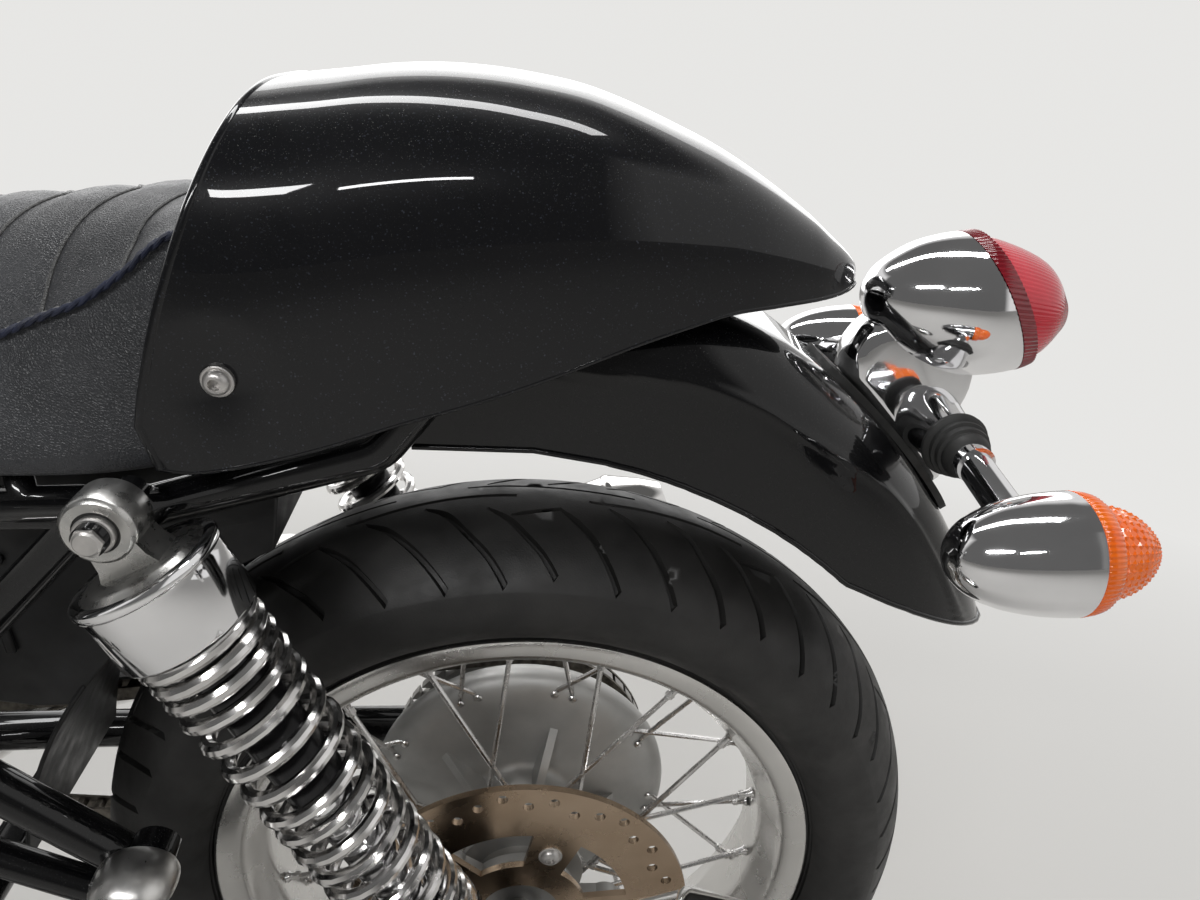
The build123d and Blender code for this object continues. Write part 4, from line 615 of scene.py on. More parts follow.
# One row for each disc: inner face y, outer and window radius
DISCS = [("rear", 77, 127.5, 82), ("front", 57.5, 160, 122)]
for end, y, outer, window_r in DISCS:
    x, _, z = AXLES[end]
    holes = []
    for row, inset in enumerate(HOLE_INSETS):
        for copy in range(HOLES_PER_ROW):
            turn = radians(HOLE_TURN + 9 * row + 45 * copy)
            holes.append(circle((outer - inset) * cos(turn), (outer - inset) * sin(turn), HOLE_R, 16))
    half_out, half_in = ARM_HALF / window_r * PER_RADIAN, ARM_HALF / NECK_R * PER_RADIAN
    for first in ARM_TURNS:
        window = []
        for i in range(19):
            turn = radians(first + half_out + 2 + (ARM_STEP - 2 * half_out - 4) * i / 18)
            window.append((window_r * cos(turn), window_r * sin(turn)))
        for i in range(13):
            turn = radians(first + ARM_STEP - half_in - (ARM_STEP - 2 * half_in) * i / 12)
            window.append((WINDOW_FOOT * cos(turn), WINDOW_FOOT * sin(turn)))
        holes.append(window)
    holes.append(circle(0, 0, 30, 48))
    ring = circle(0, 0, outer, 180)
    plate = pierced(ring, holes, (x, y, z), (1, 0, 0), (0, 0, 1), (0, DISC_THICKNESS, 0))
    add_shapes(f"{end}_disc_plate", [plate], disc_steel, f"{end}_wheel", [f"{end}_disc"],
               radians(25))
    if end == "rear":
        button = spun([(0, 0.1), (0, 8.6), (1.2, 8.8), (1.4, 7.4), (3.2, 6.8), (4.6, 5.2), (5.2, 3.4),
                       (5.2, 3.2), (2.6, 2.9), (2.4, 0.1)], 24)
        places = [pointing((x + BOLTS_R * cos(turn), y + DISC_THICKNESS, z + BOLTS_R * sin(turn)), (0, 1, 0))
                  for turn in map(radians, ARM_TURNS)]
        add_copies("rear_disc_bolts", [button], places, bolt_steel, "rear_wheel")

# SHOCK ABSORBERS
# Chromed wire springs with close coils at the top, over black bodies and bright tubes. The bodies'
# near-black is partly real black paint and partly painted reflection of the dark underside in chrome.
# A chromed shroud with a rolled rim covers the top, below a cast eye with its rubber bush, washer and bolt.

chrome = mottled("chrome", (0.80, 0.80, 0.81), (0.90, 0.90, 0.91), 26, 1.0, (0.03, 0.10))
spring_chrome = mottled("spring_chrome", (0.62, 0.61, 0.60), (0.84, 0.83, 0.82), 50, 1.0, (0.10, 0.22))
# Near-black body colour: partly the real black paint, partly a painted reflection of the dark underside
damper_black_painted_reflection = mottled("damper_black_painted_reflection", (0.012, 0.012, 0.013), (0.03, 0.03, 0.032), 40, 0.6, (0.15, 0.3))
eye_alloy = mottled("eye_alloy", (0.44, 0.44, 0.43), (0.60, 0.59, 0.57), 70, 1.0, (0.22, 0.36),
                    (1800, 0.00004))
black_rubber = mottled("black_rubber", (0.012, 0.012, 0.012), (0.028, 0.027, 0.026), 50, 0.0, (0.5, 0.7),
                       (1600, 0.00005))

SHOCK_TOP, SHOCK_BOTTOM = Vector((183, 150, 711)), Vector((41, 150, 380))
WIRE_R, COIL_R, COIL_STEPS = 4.3, 29.6, 24
# The drop of each turn of the spring, from the shroud down
COIL_DROPS = [8.5, 10.3, 11.0, 13.3, 17.3, 19.6, 19.2, 19.5, 15.5, 17.6, 17.9, 17.0, 17.0, 17.0, 16.0, 12.6,
              8.5]
springs, bodies, dampers, shrouds, eyes, bushes, shock_bolts = [], [], [], [], [], [], []
for hand in (1, -1):
    top, bottom = SHOCK_TOP.copy(), SHOCK_BOTTOM.copy()
    top.y, bottom.y = hand * top.y, hand * bottom.y
    down = (bottom - top).normalized()
    length = (bottom - top).length
    side = Vector((0, hand, 0))
    front = down.cross(side).normalized()
    line, drop = [], 66.0
    for turn in COIL_DROPS:
        for step in range(COIL_STEPS):
            angle = 2 * pi * step / COIL_STEPS
            out = (side * cos(angle) + front * sin(angle)) * COIL_R
            line.append(top + down * (drop + turn * step / COIL_STEPS) + out)
        drop += turn
    line = [p for p in line if (p - top).dot(down) < length - 38]
    springs.append(bar(line, WIRE_R, 10))
    bodies.append(lathe([(60, 0.1), (60, 18), (196, 18), (198, 16), (198, 0.1)], top, down, 40))
    dampers.append(lathe([(190, 0.1), (190, 15), (length - 44, 15), (length - 43, 20), (length - 41, 33),
                          (length - 39, 34), (length - 33, 34), (length - 31, 32), (length - 27, 18),
                          (length - 12, 13), (length - 6, 12), (length - 6, 0.1)], top, down, 40))
    shrouds.append(lathe([(27.5, 32), (27.5, 36.6), (28.2, 37.8), (29.5, 38.3), (31.5, 38.3), (32.8, 37.8),
                          (33.6, 36.8), (36, 36.6), (67, 36.6), (68, 36), (68, 34.6), (66, 34.6), (34, 34.6),
                          (30, 32)], top, down, 64))
    eyes.append(lathe([(-12, 11), (-12, 15.5), (-11, 17), (-9.5, 17.8), (9.5, 17.8), (11, 17), (12, 15.5),
                       (12, 11)],
                      top, side, 48))
    eyes.append(prism([(-12, 12), (12, 12), (13, 19), (17, 27), (-17, 27), (-13, 19)], top - side * 11,
                      front, down, side * 22))
    eyes.append(lathe([(25, 0.1), (25, 26), (26, 28.5), (30, 34), (31, 34), (31, 0.1)], top, down, 48))
    eyes.append(lathe([(-12, 9), (-11, 16), (-10, 17), (10, 17), (11, 16), (12, 9)], bottom, side, 36))
    bushes.append(lathe([(-11.4, 8.1), (-11.4, 11.4), (11.4, 11.4), (11.4, 8.1)], top, side, 32))
    bushes.append(lathe([(-12.5, 8.1), (-12.5, 9.4), (12.5, 9.4), (12.5, 8.1)], bottom, side, 32))
    for eye in (top, bottom):
        shock_bolts.append(pointing(eye + side * 12.6, side))
add_shapes("shock_spring_wires", springs, spring_chrome, "frame", ["shock_springs"])
# The damper bodies carry the near-black that also paints in the dark reflection
add_shapes("shock_damper_bodies", bodies, damper_black_painted_reflection, "frame")
add_shapes("shock_damper_tubes", dampers, chrome, "frame", ["shock_dampers"])
add_shapes("shock_shrouds", shrouds, chrome, "frame")
add_shapes("shock_eyes", eyes, eye_alloy, "frame")
add_shapes("shock_bushes", bushes, black_rubber, "frame")
washer = spun([(-2, 0.1), (-2, 9.2), (0.6, 9.6), (2.2, 9.6), (2.8, 9), (2.8, 0.1)], 28)
hexagon = slab(circle(0, 0, 7.6, 6), 2.8, 6.4)
crown = spun([(9.2, 0.1), (9.2, 6.5), (10.2, 5.4), (10.6, 0.1)], 24)
add_copies("shock_bolts", [washer, hexagon, crown], shock_bolts, bolt_steel, "frame")

# SEAT COWL
# A glossy black shell with fine metal flakes, humped behind the rider, with a rolled front lip
# and dust on its top. One button bolt with a washer sits in a dimple on each side.


def gloss_paint(name, colour, flake, dust):
    """Lacquered paint with fine flakes below the clear coat and specks of dust on what faces up."""
    finish, tree, shader = node_finish(name, colour, 0.0, 0.30, Coat_Weight=1.0, Coat_Roughness=0.02,
                                       Coat_IOR=1.40, Specular_IOR_Level=0.06)
    cells = tree.nodes.new("ShaderNodeTexVoronoi")
    cells.inputs["Scale"].default_value = 1500
    tree.links.new(own_coordinates(tree), cells.inputs["Vector"])
    sparkle = spread(tree, cells.outputs["Color"], 0, 1, 0.86, 1.0)
    base = two_tone(tree, sparkle, colour, flake)
    parts = tree.nodes.new("ShaderNodeSeparateXYZ")
    facing = tree.nodes.new("ShaderNodeNewGeometry")
    tree.links.new(facing.outputs["Normal"], parts.inputs["Vector"])
    upward = spread(tree, parts.outputs["Z"], 0.10, 1.0, 0.0, 0.9)
    specks = spread(tree, noise(tree, 1300, 2, rough=0.7), 0, 1, 0.66, 0.74)
    film = spread(tree, noise(tree, 14, 5, rough=0.65), 0.0, 0.55, 0.35, 0.75)
    dusty = two_tone(tree, joined(tree, "MULTIPLY", specks, upward), base, dust)
    tree.links.new(dusty, shader.inputs["Base Color"])
    tree.links.new(spread(tree, film, 0.22, 0.42, 0, 0.55), shader.inputs["Roughness"])
    return finish


cowl_paint = gloss_paint("cowl_paint", (0.0045, 0.0048, 0.006), (0.045, 0.05, 0.065), (0.30, 0.30, 0.29))
body_paint = gloss_paint("body_paint", (0.0035, 0.0035, 0.004), (0.012, 0.012, 0.014), (0.16, 0.16, 0.155))


def along_curve(table, x):
    """A value read smoothly from a table of (x, value) rows in rising x."""
    if x <= table[0][0]:
        return table[0][1]
    for index in range(len(table) - 1):
        (x1, v1), (x2, v2) = table[index], table[index + 1]
        if x <= x2:
            x0, v0 = table[max(index - 1, 0)]
            x3, v3 = table[min(index + 2, len(table) - 1)]
            t = (x - x1) / (x2 - x1)
            m1 = (v2 - v0) / (x2 - x0) * (x2 - x1)
            m2 = (v3 - v1) / (x3 - x1) * (x2 - x1)
            return ((2 * t ** 3 - 3 * t ** 2 + 1) * v1 + (t ** 3 - 2 * t ** 2 + t) * m1
                    + (-2 * t ** 3 + 3 * t ** 2) * v2 + (t ** 3 - t ** 2) * m2)
    return table[-1][1]


def skin(rows):
    """A sheet of faces over a grid of points, given as rows of equal length."""
    width = len(rows[0])
    points = [p for row in rows for p in row]
    faces = [[r * width + c, r * width + c + 1, (r + 1) * width + c + 1, (r + 1) * width + c]
             for r in range(len(rows) - 1) for c in range(width - 1)]
    return points, faces


def shell(outer, inner):
    """A closed shell between an outer and an inner grid of points, joined round their edges."""
    rows, width = len(outer), len(outer[0])
    points, faces = skin(outer)
    inner_points, inner_faces = skin(inner)
    start = len(points)
    faces += [[start + i for i in reversed(face)] for face in inner_faces]
    border = ([(0, c) for c in range(width)] + [(r, width - 1) for r in range(1, rows)]
              + [(rows - 1, c) for c in range(width - 2, -1, -1)] + [(r, 0) for r in range(rows - 2, 0, -1)])
    for (r0, c0), (r1, c1) in zip(border, border[1:] + border[:1]):
        a, b = r0 * width + c0, r1 * width + c1
        faces.append([a, b, start + b, start + a])
    return points + inner_points, faces


# The cowl's half width, lower edge and top line, as (x, value)
COWL_WIDTH = [(-219, 0), (-216, 20), (-210, 32), (-200, 43), (-180, 57), (-140, 78), (-62, 101), (20, 116),
              (100, 126), (178, 132)]
COWL_FOOT = [(-219, 788), (-190, 787), (-160, 788), (-130, 788), (-103, 783), (-74, 776), (-34, 764),
             (6, 753), (47, 744), (82, 735), (118, 728), (153, 725), (178, 729)]
COWL_TOP = [(-219, 794), (-216, 800), (-208, 808), (-196, 818), (-183, 829), (-150, 852), (-120, 869),
            (-62, 893), (-20, 902), (20, 906), (60, 906), (106, 903), (178, 900)]
COWL_TAIL, COWL_FRONT = -219, 172
COWL_BEND = 2 / 3.5                # the section is a superellipse of the power 3.5
LIP_SLANT, LIP_HEIGHT = 62, 165    # how far the front lip leans back, at what height
CORNER_CUT, CORNER_HEIGHT = 10, 15    # how far back the lower front corner is cut, up to what height
BOLT_X, BOLT_Z, DIMPLE_R, DIMPLE_DEPTH = 129, 771, 30, 5.0


def cowl_point(station, angle, inset):
    """A point of the cowl's skin: a station from 0 at the tip to 1 at the front lip, and an angle over it."""
    x = COWL_TAIL + (COWL_FRONT - COWL_TAIL) * station
    half = max(along_curve(COWL_WIDTH, x) - inset, 0.4)
    foot = along_curve(COWL_FOOT, x)
    rise = max(along_curve(COWL_TOP, x) - inset - foot, 0.4)
    c, s = cos(angle), sin(angle)
    y = half * (abs(c) ** COWL_BEND) * (1 if c > 0 else -1)
    up = rise * max(0, s) ** COWL_BEND
    slant = LIP_SLANT * (up / LIP_HEIGHT) ** 1.3 * station ** 5
    corner = CORNER_CUT * station ** 10 * max(0, 1 - up / CORNER_HEIGHT) ** 2
    x -= slant + corner
    away = hypot(x - BOLT_X, foot + up - BOLT_Z) / DIMPLE_R
    if away < 1:
        y -= (1 if y > 0 else -1) * DIMPLE_DEPTH * (0.5 + 0.5 * cos(pi * away)) ** 0.7
    return Vector((x, y, foot + up))


stations = [0.4 * (1 - cos(pi / 2 * i / 110)) + 0.6 * i / 110 for i in range(111)]
angles = [pi * i / 104 for i in range(105)]
outer = [[cowl_point(s, a, 0) for a in angles] for s in stations]
inner = [[cowl_point(s, a, 3.5) for a in angles] for s in stations]
lip = [cowl_point(1, a, 1.6) for a in angles]
lower_edges = [bar([cowl_point(s, angle, 1.4) for s in stations[2:]], 1.7, 8) for angle in (0, pi)]
cowl_shapes = [shell(outer, inner), bar(lip, 2.6, 10)] + lower_edges
add_shapes("cowl_shell", cowl_shapes, cowl_paint, "frame", ["seat_cowl"], radians(60))
cowl_bolts = [pointing((BOLT_X, hand * 125.4, BOLT_Z), (0.04, hand, -0.02)) for hand in (1, -1)]
washer = spun([(-2, 0.1), (-2, 7.8), (0.7, 8.0), (1.1, 7.5), (1.1, 0.1)], 32)
button = spun([(0.5, 0.1), (1.1, 6.6), (2.0, 6.5), (3.8, 5.8), (4.9, 4.4), (5.2, 3.3), (5.2, 3.0), (0.9, 2.9),
               (0.8, 0.1)], 28)
add_copies("cowl_bolts", [washer, button], cowl_bolts, bolt_steel, "frame")

# REAR MUDGUARD
# A deep channel pressed from sheet and painted gloss black, with a swage line along each side.
# Its sides are cut to a long curve that runs out at the tail, and the cut edge is rolled.

GUARD_HALF = 80
GUARD_CORNER = [(-344, 72), (-300, 68), (-240, 56), (-180, 46), (-120, 40), (48, 40)]
GUARD_CREST = (arc_through((-344, 543), (-273.6, 662.6), (-172, 757), 40)
               + arc_through((-172, 757), (-120, 780), (-62, 790), 12)[1:] + [(-20, 790), (48, 790)])
CUT_X, CUT_Z, CUT_SLOPE = -214, 610, 0.515    # where the lower edge turns into a straight cut
GUARD_FOOT = arc_through((CUT_X, CUT_Z), (-90, 690), (52, 713), 24)
GUARD_STEPS, SWAGE_HALF, SWAGE_RISE = 56, 3.4, 1.6
SWAGE = [(-345, 30), (-266, 33), (-228, 44), (-189, 53), (-116, 58), (-60, 60), (60, 60)]


def guard_section(reach, inset, corner):
    """A point of the mudguard's section: (y, depth) at a distance out from its middle line."""
    if reach < GUARD_HALF - corner:
        return reach, inset
    turn = (reach - (GUARD_HALF - corner)) / corner
    radius = corner - inset
    if turn < pi / 2:
        return GUARD_HALF - corner + radius * sin(turn), corner - radius * cos(turn)
    return GUARD_HALF - inset, corner + (turn - pi / 2) * corner


def guard_rows(inset):
    """Grid rows of the mudguard, each from one cut edge over the crest to the other."""
    rows = []
    for index, (x, z) in enumerate(GUARD_CREST):
        x0, z0 = GUARD_CREST[max(index - 1, 0)]
        x1, z1 = GUARD_CREST[min(index + 1, len(GUARD_CREST) - 1)]
        run = Vector((x1 - x0, z1 - z0)).normalized()
        inward = Vector((run.y, -run.x))
        corner = along_curve(GUARD_CORNER, x)
        reach = max(6, GUARD_HALF - corner)
        while reach < 200:
            y, depth = guard_section(reach, 0, corner)
            low_x, low_z = x + inward.x * depth, z + inward.y * depth
            foot = CUT_Z + (low_x - CUT_X) * CUT_SLOPE if low_x < CUT_X else along_curve(GUARD_FOOT, low_x)
            if low_z < foot:
                break
            reach += 0.4
        swage_at = along_curve(SWAGE, x) + 40
        row = []
        for step in range(GUARD_STEPS + 1):
            out = reach * (1 - step / GUARD_STEPS)
            rise = SWAGE_RISE * max(0, 1 - ((out - swage_at) / SWAGE_HALF) ** 2) if inset == 0 else 0
            y, depth = guard_section(out, inset - rise, corner)
            row.append(Vector((x + inward.x * depth, y, z + inward.y * depth)))
        rows.append(row + [Vector((p.x, -p.y, p.z)) for p in reversed(row[:-1])])
    return rows


outer_rows, inner_rows = guard_rows(0), guard_rows(2.4)
beads = [bar([row[column] for row in outer_rows], 1.8, 8) for column in (0, len(outer_rows[0]) - 1)]
beads.append(bar(outer_rows[0][::4], 1.8, 8))
add_shapes("mudguard_rear_shell", [shell(outer_rows, inner_rows)] + beads, body_paint, "frame",
           ["rear_mudguard"], radians(50))

# TAIL LAMP
# A chromed egg cut by a slanting seam, with a moulded red lens: a dark ribbed band, then a
# finely ribbed dome. Its chromed foot sits on a rubber pad and carries the indicator arms.

lens_band_red = mottled("lens_band_red", (0.15, 0.002, 0.008), (0.26, 0.004, 0.014), 40, 0.0, (0.10, 0.2),
                        None, Coat_Weight=0.6, Coat_Roughness=0.05)
lens_dome_red = mottled("lens_dome_red", (0.50, 0.004, 0.018), (0.68, 0.012, 0.036), 30, 0.0, (0.10, 0.2),
                        None, Coat_Weight=0.6, Coat_Roughness=0.05)
gasket_rubber = mottled("gasket_rubber", (0.010, 0.010, 0.010), (0.022, 0.022, 0.021), 60, 0.0, (0.5, 0.75),
                        (1500, 0.00006))


def cut(shape, point, normal):
    """The part of a closed shape that lies behind a plane, closed again along the cut."""
    points, faces = shape
    work = bmesh.new()
    verts = [work.verts.new(p) for p in points]
    for face in faces:
        corners = list(dict.fromkeys(verts[i] for i in face))
        if len(corners) > 2:
            try:
                work.faces.new(corners)
            except ValueError:
                pass
    bmesh.ops.remove_doubles(work, verts=work.verts, dist=WELD)
    geometry = work.verts[:] + work.edges[:] + work.faces[:]
    made = bmesh.ops.bisect_plane(work, geom=geometry, plane_co=Vector(point), plane_no=Vector(normal),
                                  clear_outer=True)
    rim = [e for e in made["geom_cut"] if isinstance(e, bmesh.types.BMEdge)]
    bmesh.ops.holes_fill(work, edges=rim, sides=0)
    work.verts.index_update()
    result = [v.co.copy() for v in work.verts], [[v.index for v in f.verts] for f in work.faces]
    work.free()
    return result


def ribbed(shape, centre, axis, count, depth):
    """A turned shape with fine ribs moulded along it, all round."""
    centre, axis = Vector(centre), Vector(axis).normalized()
    side = axis.orthogonal().normalized()
    other = axis.cross(side)
    points = []
    for p in shape[0]:
        out = p - centre - axis * (p - centre).dot(axis)
        if out.length > 3:
            p = p + out.normalized() * depth * cos(count * atan2(out.dot(other), out.dot(side)))
        points.append(p)
    return points, shape[1]


def smooth_outline(table, count):
    """A turned outline's (height, radius) points, drawn smooth through a few."""
    return [tuple(p) for p in groove_line([Vector(p) for p in table], count)]


LAMP_NOSE, LAMP_TIP = Vector((-230, 0, 777)), Vector((-368, 0, 758))
LAMP_AXIS = (LAMP_TIP - LAMP_NOSE).normalized()
LAMP_EGG = [(0, 3), (2.5, 10), (10, 20.5), (30, 35), (56, 44), (78, 45.5), (111, 37), (130, 20),
            (137.3, 10), (139.3, 3)]
SEAM_AT, SEAM_AIM = Vector((-311.5, 0, 769)), Vector((-0.9, 0, 0.44)).normalized()
egg = smooth_outline(LAMP_EGG, 6)
band = [(h, r + (0.5 if 60 < h < 100 else 0)) for h, r in egg]
dome = [(h - 0.4, max(r - 3.2, 0.6)) for h, r in egg]
LENS_RIBS = 90
shell_shape = cut(lathe(egg, LAMP_NOSE, LAMP_AXIS, 96, False), SEAM_AT, SEAM_AIM)
ribbed_band = ribbed(lathe(band, LAMP_NOSE, LAMP_AXIS, 360, False), LAMP_NOSE, LAMP_AXIS, LENS_RIBS, 0.35)
ribbed_dome = ribbed(lathe(dome, LAMP_NOSE, LAMP_AXIS, 360, False), LAMP_NOSE, LAMP_AXIS, LENS_RIBS, 0.12)
band_shape = cut(cut(ribbed_band, SEAM_AT + SEAM_AIM * 9.5, SEAM_AIM), SEAM_AT + SEAM_AIM * 0.4, -SEAM_AIM)
dome_shape = cut(ribbed_dome, SEAM_AT + SEAM_AIM * 8, -SEAM_AIM)
add_shapes("tail_lamp_band", [band_shape], lens_band_red, "frame", ["tail_light_lens"],
           radians(50))
add_shapes("tail_lamp_dome", [dome_shape], lens_dome_red, "frame", (), radians(50))

# The foot's side view, from the pad up to the lamp's belly, and how it narrows across
FOOT = [(-222, 724), (-224, 744), (-244, 762), (-300, 752), (-306, 742), (-306, 716), (-297, 690),
        (-300, 668), (-292, 645), (-270, 668), (-248, 694)]
middle = Vector((sum(x for x, _ in FOOT) / len(FOOT), sum(z for _, z in FOOT) / len(FOOT)))
slices = []
for y, keep in ((-23.5, 0.72), (-22.5, 0.84), (-20, 0.93), (-15, 0.98), (0, 1.0), (15, 0.98), (20, 0.93),
                (22.5, 0.84), (23.5, 0.72)):
    ring = groove_line([middle + (Vector(p) - middle) * keep for p in FOOT + FOOT[:1]], 4)[:-1]
    slices.append([Vector((p.x, y * (1 - 0.28 * max(0, p.y - 690) / 70), p.y)) for p in ring])
foot_shape = ([p for ring in slices for p in ring], ring_faces(len(slices), len(slices[0])))
ARM_AT = Vector((-277, 0, 697))
castings, boots = [shell_shape, foot_shape], []
for hand in (1, -1):
    side = Vector((0, hand, 0))
    arm = smooth_outline([(10, 21), (24, 21.5), (40, 18.8), (56, 16.4), (62, 16)], 4)
    castings.append(lathe(arm, ARM_AT, side, 40, False))
    boots.append(lathe([(60, 0.1), (60, 19), (61, 20.4), (63.5, 20.6), (65, 19.4), (66, 17.4), (68, 17.6),
                        (69, 18.4), (70.5, 18.2), (71.5, 16.4), (73, 16), (74, 16.8), (75.5, 16.4),
                        (76.5, 14.6), (78, 14.4), (79, 14.8), (81, 14), (83.5, 12.6), (84.6, 11.4),
                        (84.6, 0.1)], ARM_AT, side, 40))
add_shapes("tail_lamp_shell", castings, chrome, "frame", ["tail_light_body"], radians(48))
add_shapes("indicator_arm_boots", boots, gasket_rubber, "frame")
pad_outer, pad_inner = [], []
for x, z in GUARD_CREST:
    if -300 < x < -205:
        near = Vector((x, z)) - Vector((100.3, 362))
        out = near.normalized()
        edge = 30 - 8 * max(0, (abs(x + 252) - 34) / 14) ** 2
        for rows, lift in ((pad_outer, 4.2), (pad_inner, -0.5)):
            rows.append([Vector((x + out.x * lift, y, z + out.y * lift))
                         for y in [edge * (1 - i / 6) for i in range(13)]])
add_shapes("tail_lamp_pad", [shell(pad_outer, pad_inner)], gasket_rubber, "frame", (),
           radians(50))

# INDICATORS
# Chromed bullets on chromed stems, two at each end. The amber lens has a finely ribbed band
# and a dome moulded all over in small pyramids.

lens_amber = mottled("lens_amber", (0.84, 0.115, 0.003), (0.95, 0.19, 0.006), 45, 0.0, (0.10, 0.2), None,
                     Coat_Weight=0.6, Coat_Roughness=0.05)


def studded(outline, centre, axis, steps, rise):
    """A turned dome whose crossing rows are lifted into small pyramids."""
    axis = Vector(axis).normalized()
    side = axis.orthogonal().normalized()
    other = axis.cross(side)
    points, faces = [], []
    for row, (height, radius) in enumerate(outline):
        for step in range(steps):
            angle = 2 * pi * step / steps
            grown = radius + (rise if row % 2 and step % 2 and radius > 4 else 0)
            points.append(Vector(centre) + axis * height + (side * cos(angle) + other * sin(angle)) * grown)
    for row in range(len(outline) - 1):
        for step in range(steps):
            here, above, after = row * steps, (row + 1) * steps, (step + 1) % steps
            quad = [here + step, here + after, above + after, above + step]
            flip = (row + step) % 2
            faces += ([[quad[0], quad[1], quad[2]], [quad[0], quad[2], quad[3]]] if flip
                      else [[quad[1], quad[2], quad[3]], [quad[1], quad[3], quad[0]]])
    faces += [list(range(steps)), list(range((len(outline) - 1) * steps, len(outline) * steps))]
    return points, faces


STUDS = 72
DOME = [(75.8, 25.4), (84, 24.4), (94, 21.4), (103, 15.4), (109, 8.6), (112.2, 2.5)]
BULLET = [(0, 2.5), (0.6, 5), (4, 12.5), (12, 20), (26, 26.6), (42, 30.4), (56, 32), (65, 32.4)]
# One row for each end: body, nose x, y, z, facing, where the stem starts
INDICATORS = [("rear", "frame", -226, 167, 684.5, -1, (-277, 84.3, 697)),
              ("front", "steering", 1262, 190, 800, 1, (1310, 91.3, 806))]
for end, body, nose, y, z, facing, root in INDICATORS:
    shells, bands, domes = [], [], []
    for hand in (1, -1):
        start, axis = Vector((nose, hand * y, z)), Vector((facing, 0, 0))
        shells.append(lathe(smooth_outline(BULLET, 6) + [(65, 0.1)], start, axis, 64, False))
        stem = Vector((root[0], hand * root[1], root[2]))
        shells.append(bar([stem, Vector((root[0], hand * (y - 14), z))], 10, 28))
        shells.append(bar([stem, stem + Vector((0, hand * 7, 0))], 11.5, 28))
        ring = [(65.4, 0.1), (65.4, 31.6), (66, 32.2), (72, 31.4), (75.4, 30.4), (76, 29.6), (76, 25.6),
                (76, 0.1)]
        bands.append(ribbed(lathe(ring, start, axis, 4 * STUDS, False), start, axis, STUDS, 0.3))
        domes.append(studded(smooth_outline(DOME, 5), start, axis, STUDS, 0.9))
    add_shapes(f"{end}_indicator_shells", shells, chrome, body, [f"{end}_indicators"])
    add_shapes(f"{end}_indicator_bands", bands, lens_amber, body, [f"{end}_indicator_lenses"],
               radians(60))
    add_shapes(f"{end}_indicator_domes", domes, lens_amber, body, (), radians(12))

# SEAT
# Foam under grained black vinyl. The top is sewn in channels across, and a twisted navy welt
# runs along the edge above tall smooth sides. The back end goes in under the cowl.


def vinyl(name, dark, light, shine):
    """Coated cloth with a pebbled grain, a soft sheen and worn patches."""
    finish, tree, shader = node_finish(name, light, 0.0, shine, Sheen_Weight=0.12, Sheen_Roughness=0.4,
                                       Specular_IOR_Level=0.42)
    cloud = spread(tree, noise(tree, 16, 5, rough=0.6), 0, 1, 0.35, 0.7)
    tree.links.new(two_tone(tree, cloud, dark, light), shader.inputs["Base Color"])
    tree.links.new(spread(tree, noise(tree, 40, 4), shine - 0.08, shine + 0.10), shader.inputs["Roughness"])
    pebbles = tree.nodes.new("ShaderNodeTexVoronoi")
    pebbles.feature = "DISTANCE_TO_EDGE"
    pebbles.inputs["Scale"].default_value = 620
    warp = tree.nodes.new("ShaderNodeVectorMath")
    warp.operation = "MULTIPLY_ADD"
    warp.inputs[1].default_value = (0.0025, 0.0025, 0.0025)
    tree.links.new(noise(tree, 300, 2), warp.inputs[0])
    tree.links.new(own_coordinates(tree), warp.inputs[2])
    tree.links.new(warp.outputs["Vector"], pebbles.inputs["Vector"])
    bump(tree, shader, spread(tree, pebbles.outputs["Distance"], 0, 1, 0.0, 0.35), 0.00022)
    bump(tree, shader, noise(tree, 1700, 3), 0.00006)
    return finish


seat_vinyl = vinyl("seat_vinyl", (0.024, 0.025, 0.028), (0.044, 0.046, 0.051), 0.38)
welt_navy = mottled("welt_navy", (0.006, 0.008, 0.020), (0.014, 0.020, 0.050), 90, 0.0, (0.45, 0.6),
                    (1500, 0.00008))
# The piping's lighter grey is painted highlight along the raised pleat seams
piping_painted_highlight = vinyl("piping_painted_highlight", (0.05, 0.05, 0.05), (0.085, 0.085, 0.083), 0.42)
thread_grey = mottled("thread_grey", (0.16, 0.16, 0.155), (0.26, 0.255, 0.25), 120, 0.0, (0.6, 0.8),
                      (2500, 0.00005))

# Lines along the seat as (x, value): foot, crown, welt, half width at the foot and at the welt
SEAT_FOOT = [(72, 739), (172, 718), (250, 716), (400, 730), (520, 748), (606, 764)]
SEAT_CROWN = [(72, 839), (172, 842), (250, 837), (290, 834.5), (350, 822), (420, 808), (520, 801), (606, 808)]
SEAT_WELT = [(72, 836), (140, 836), (151, 834), (164, 826), (172, 819), (197, 803), (219, 795), (239, 787),
             (262, 781), (300, 775), (400, 769), (520, 773), (606, 783)]
SEAT_SIDE = [(72, 102), (172, 114), (250, 116.5), (400, 116.5), (520, 99), (606, 66)]
SEAT_EDGE = [(72, 84), (172, 92), (250, 98), (400, 99), (520, 86), (606, 56)]
SEAT_NOSE, SEAT_CORNER_R = 606, 9
# Shares of the way from under the middle to the top: where the flat foot, the corner and the side end
FOOT_END, CORNER_END, SIDE_END = 0.15, 0.22, 0.52
PLEAT_STEP, PLEAT_FIRST, PLEAT_SWEEP = 40, 199, 20
# A channel's rise over its seams, how far the seams sink, and over what width a channel rounds off
PLEAT_RISE, PLEAT_SINK, PLEAT_ROUND = 2.6, 1.8, 14
EDGE_SHARE = 0.05          # the part of the half width, beside the welt, in which the channels die out
WELT_STEP, WELT_PITCH = 3, 13
FOAM_GRID, FOAM_PRESSURE = 0.006, 4


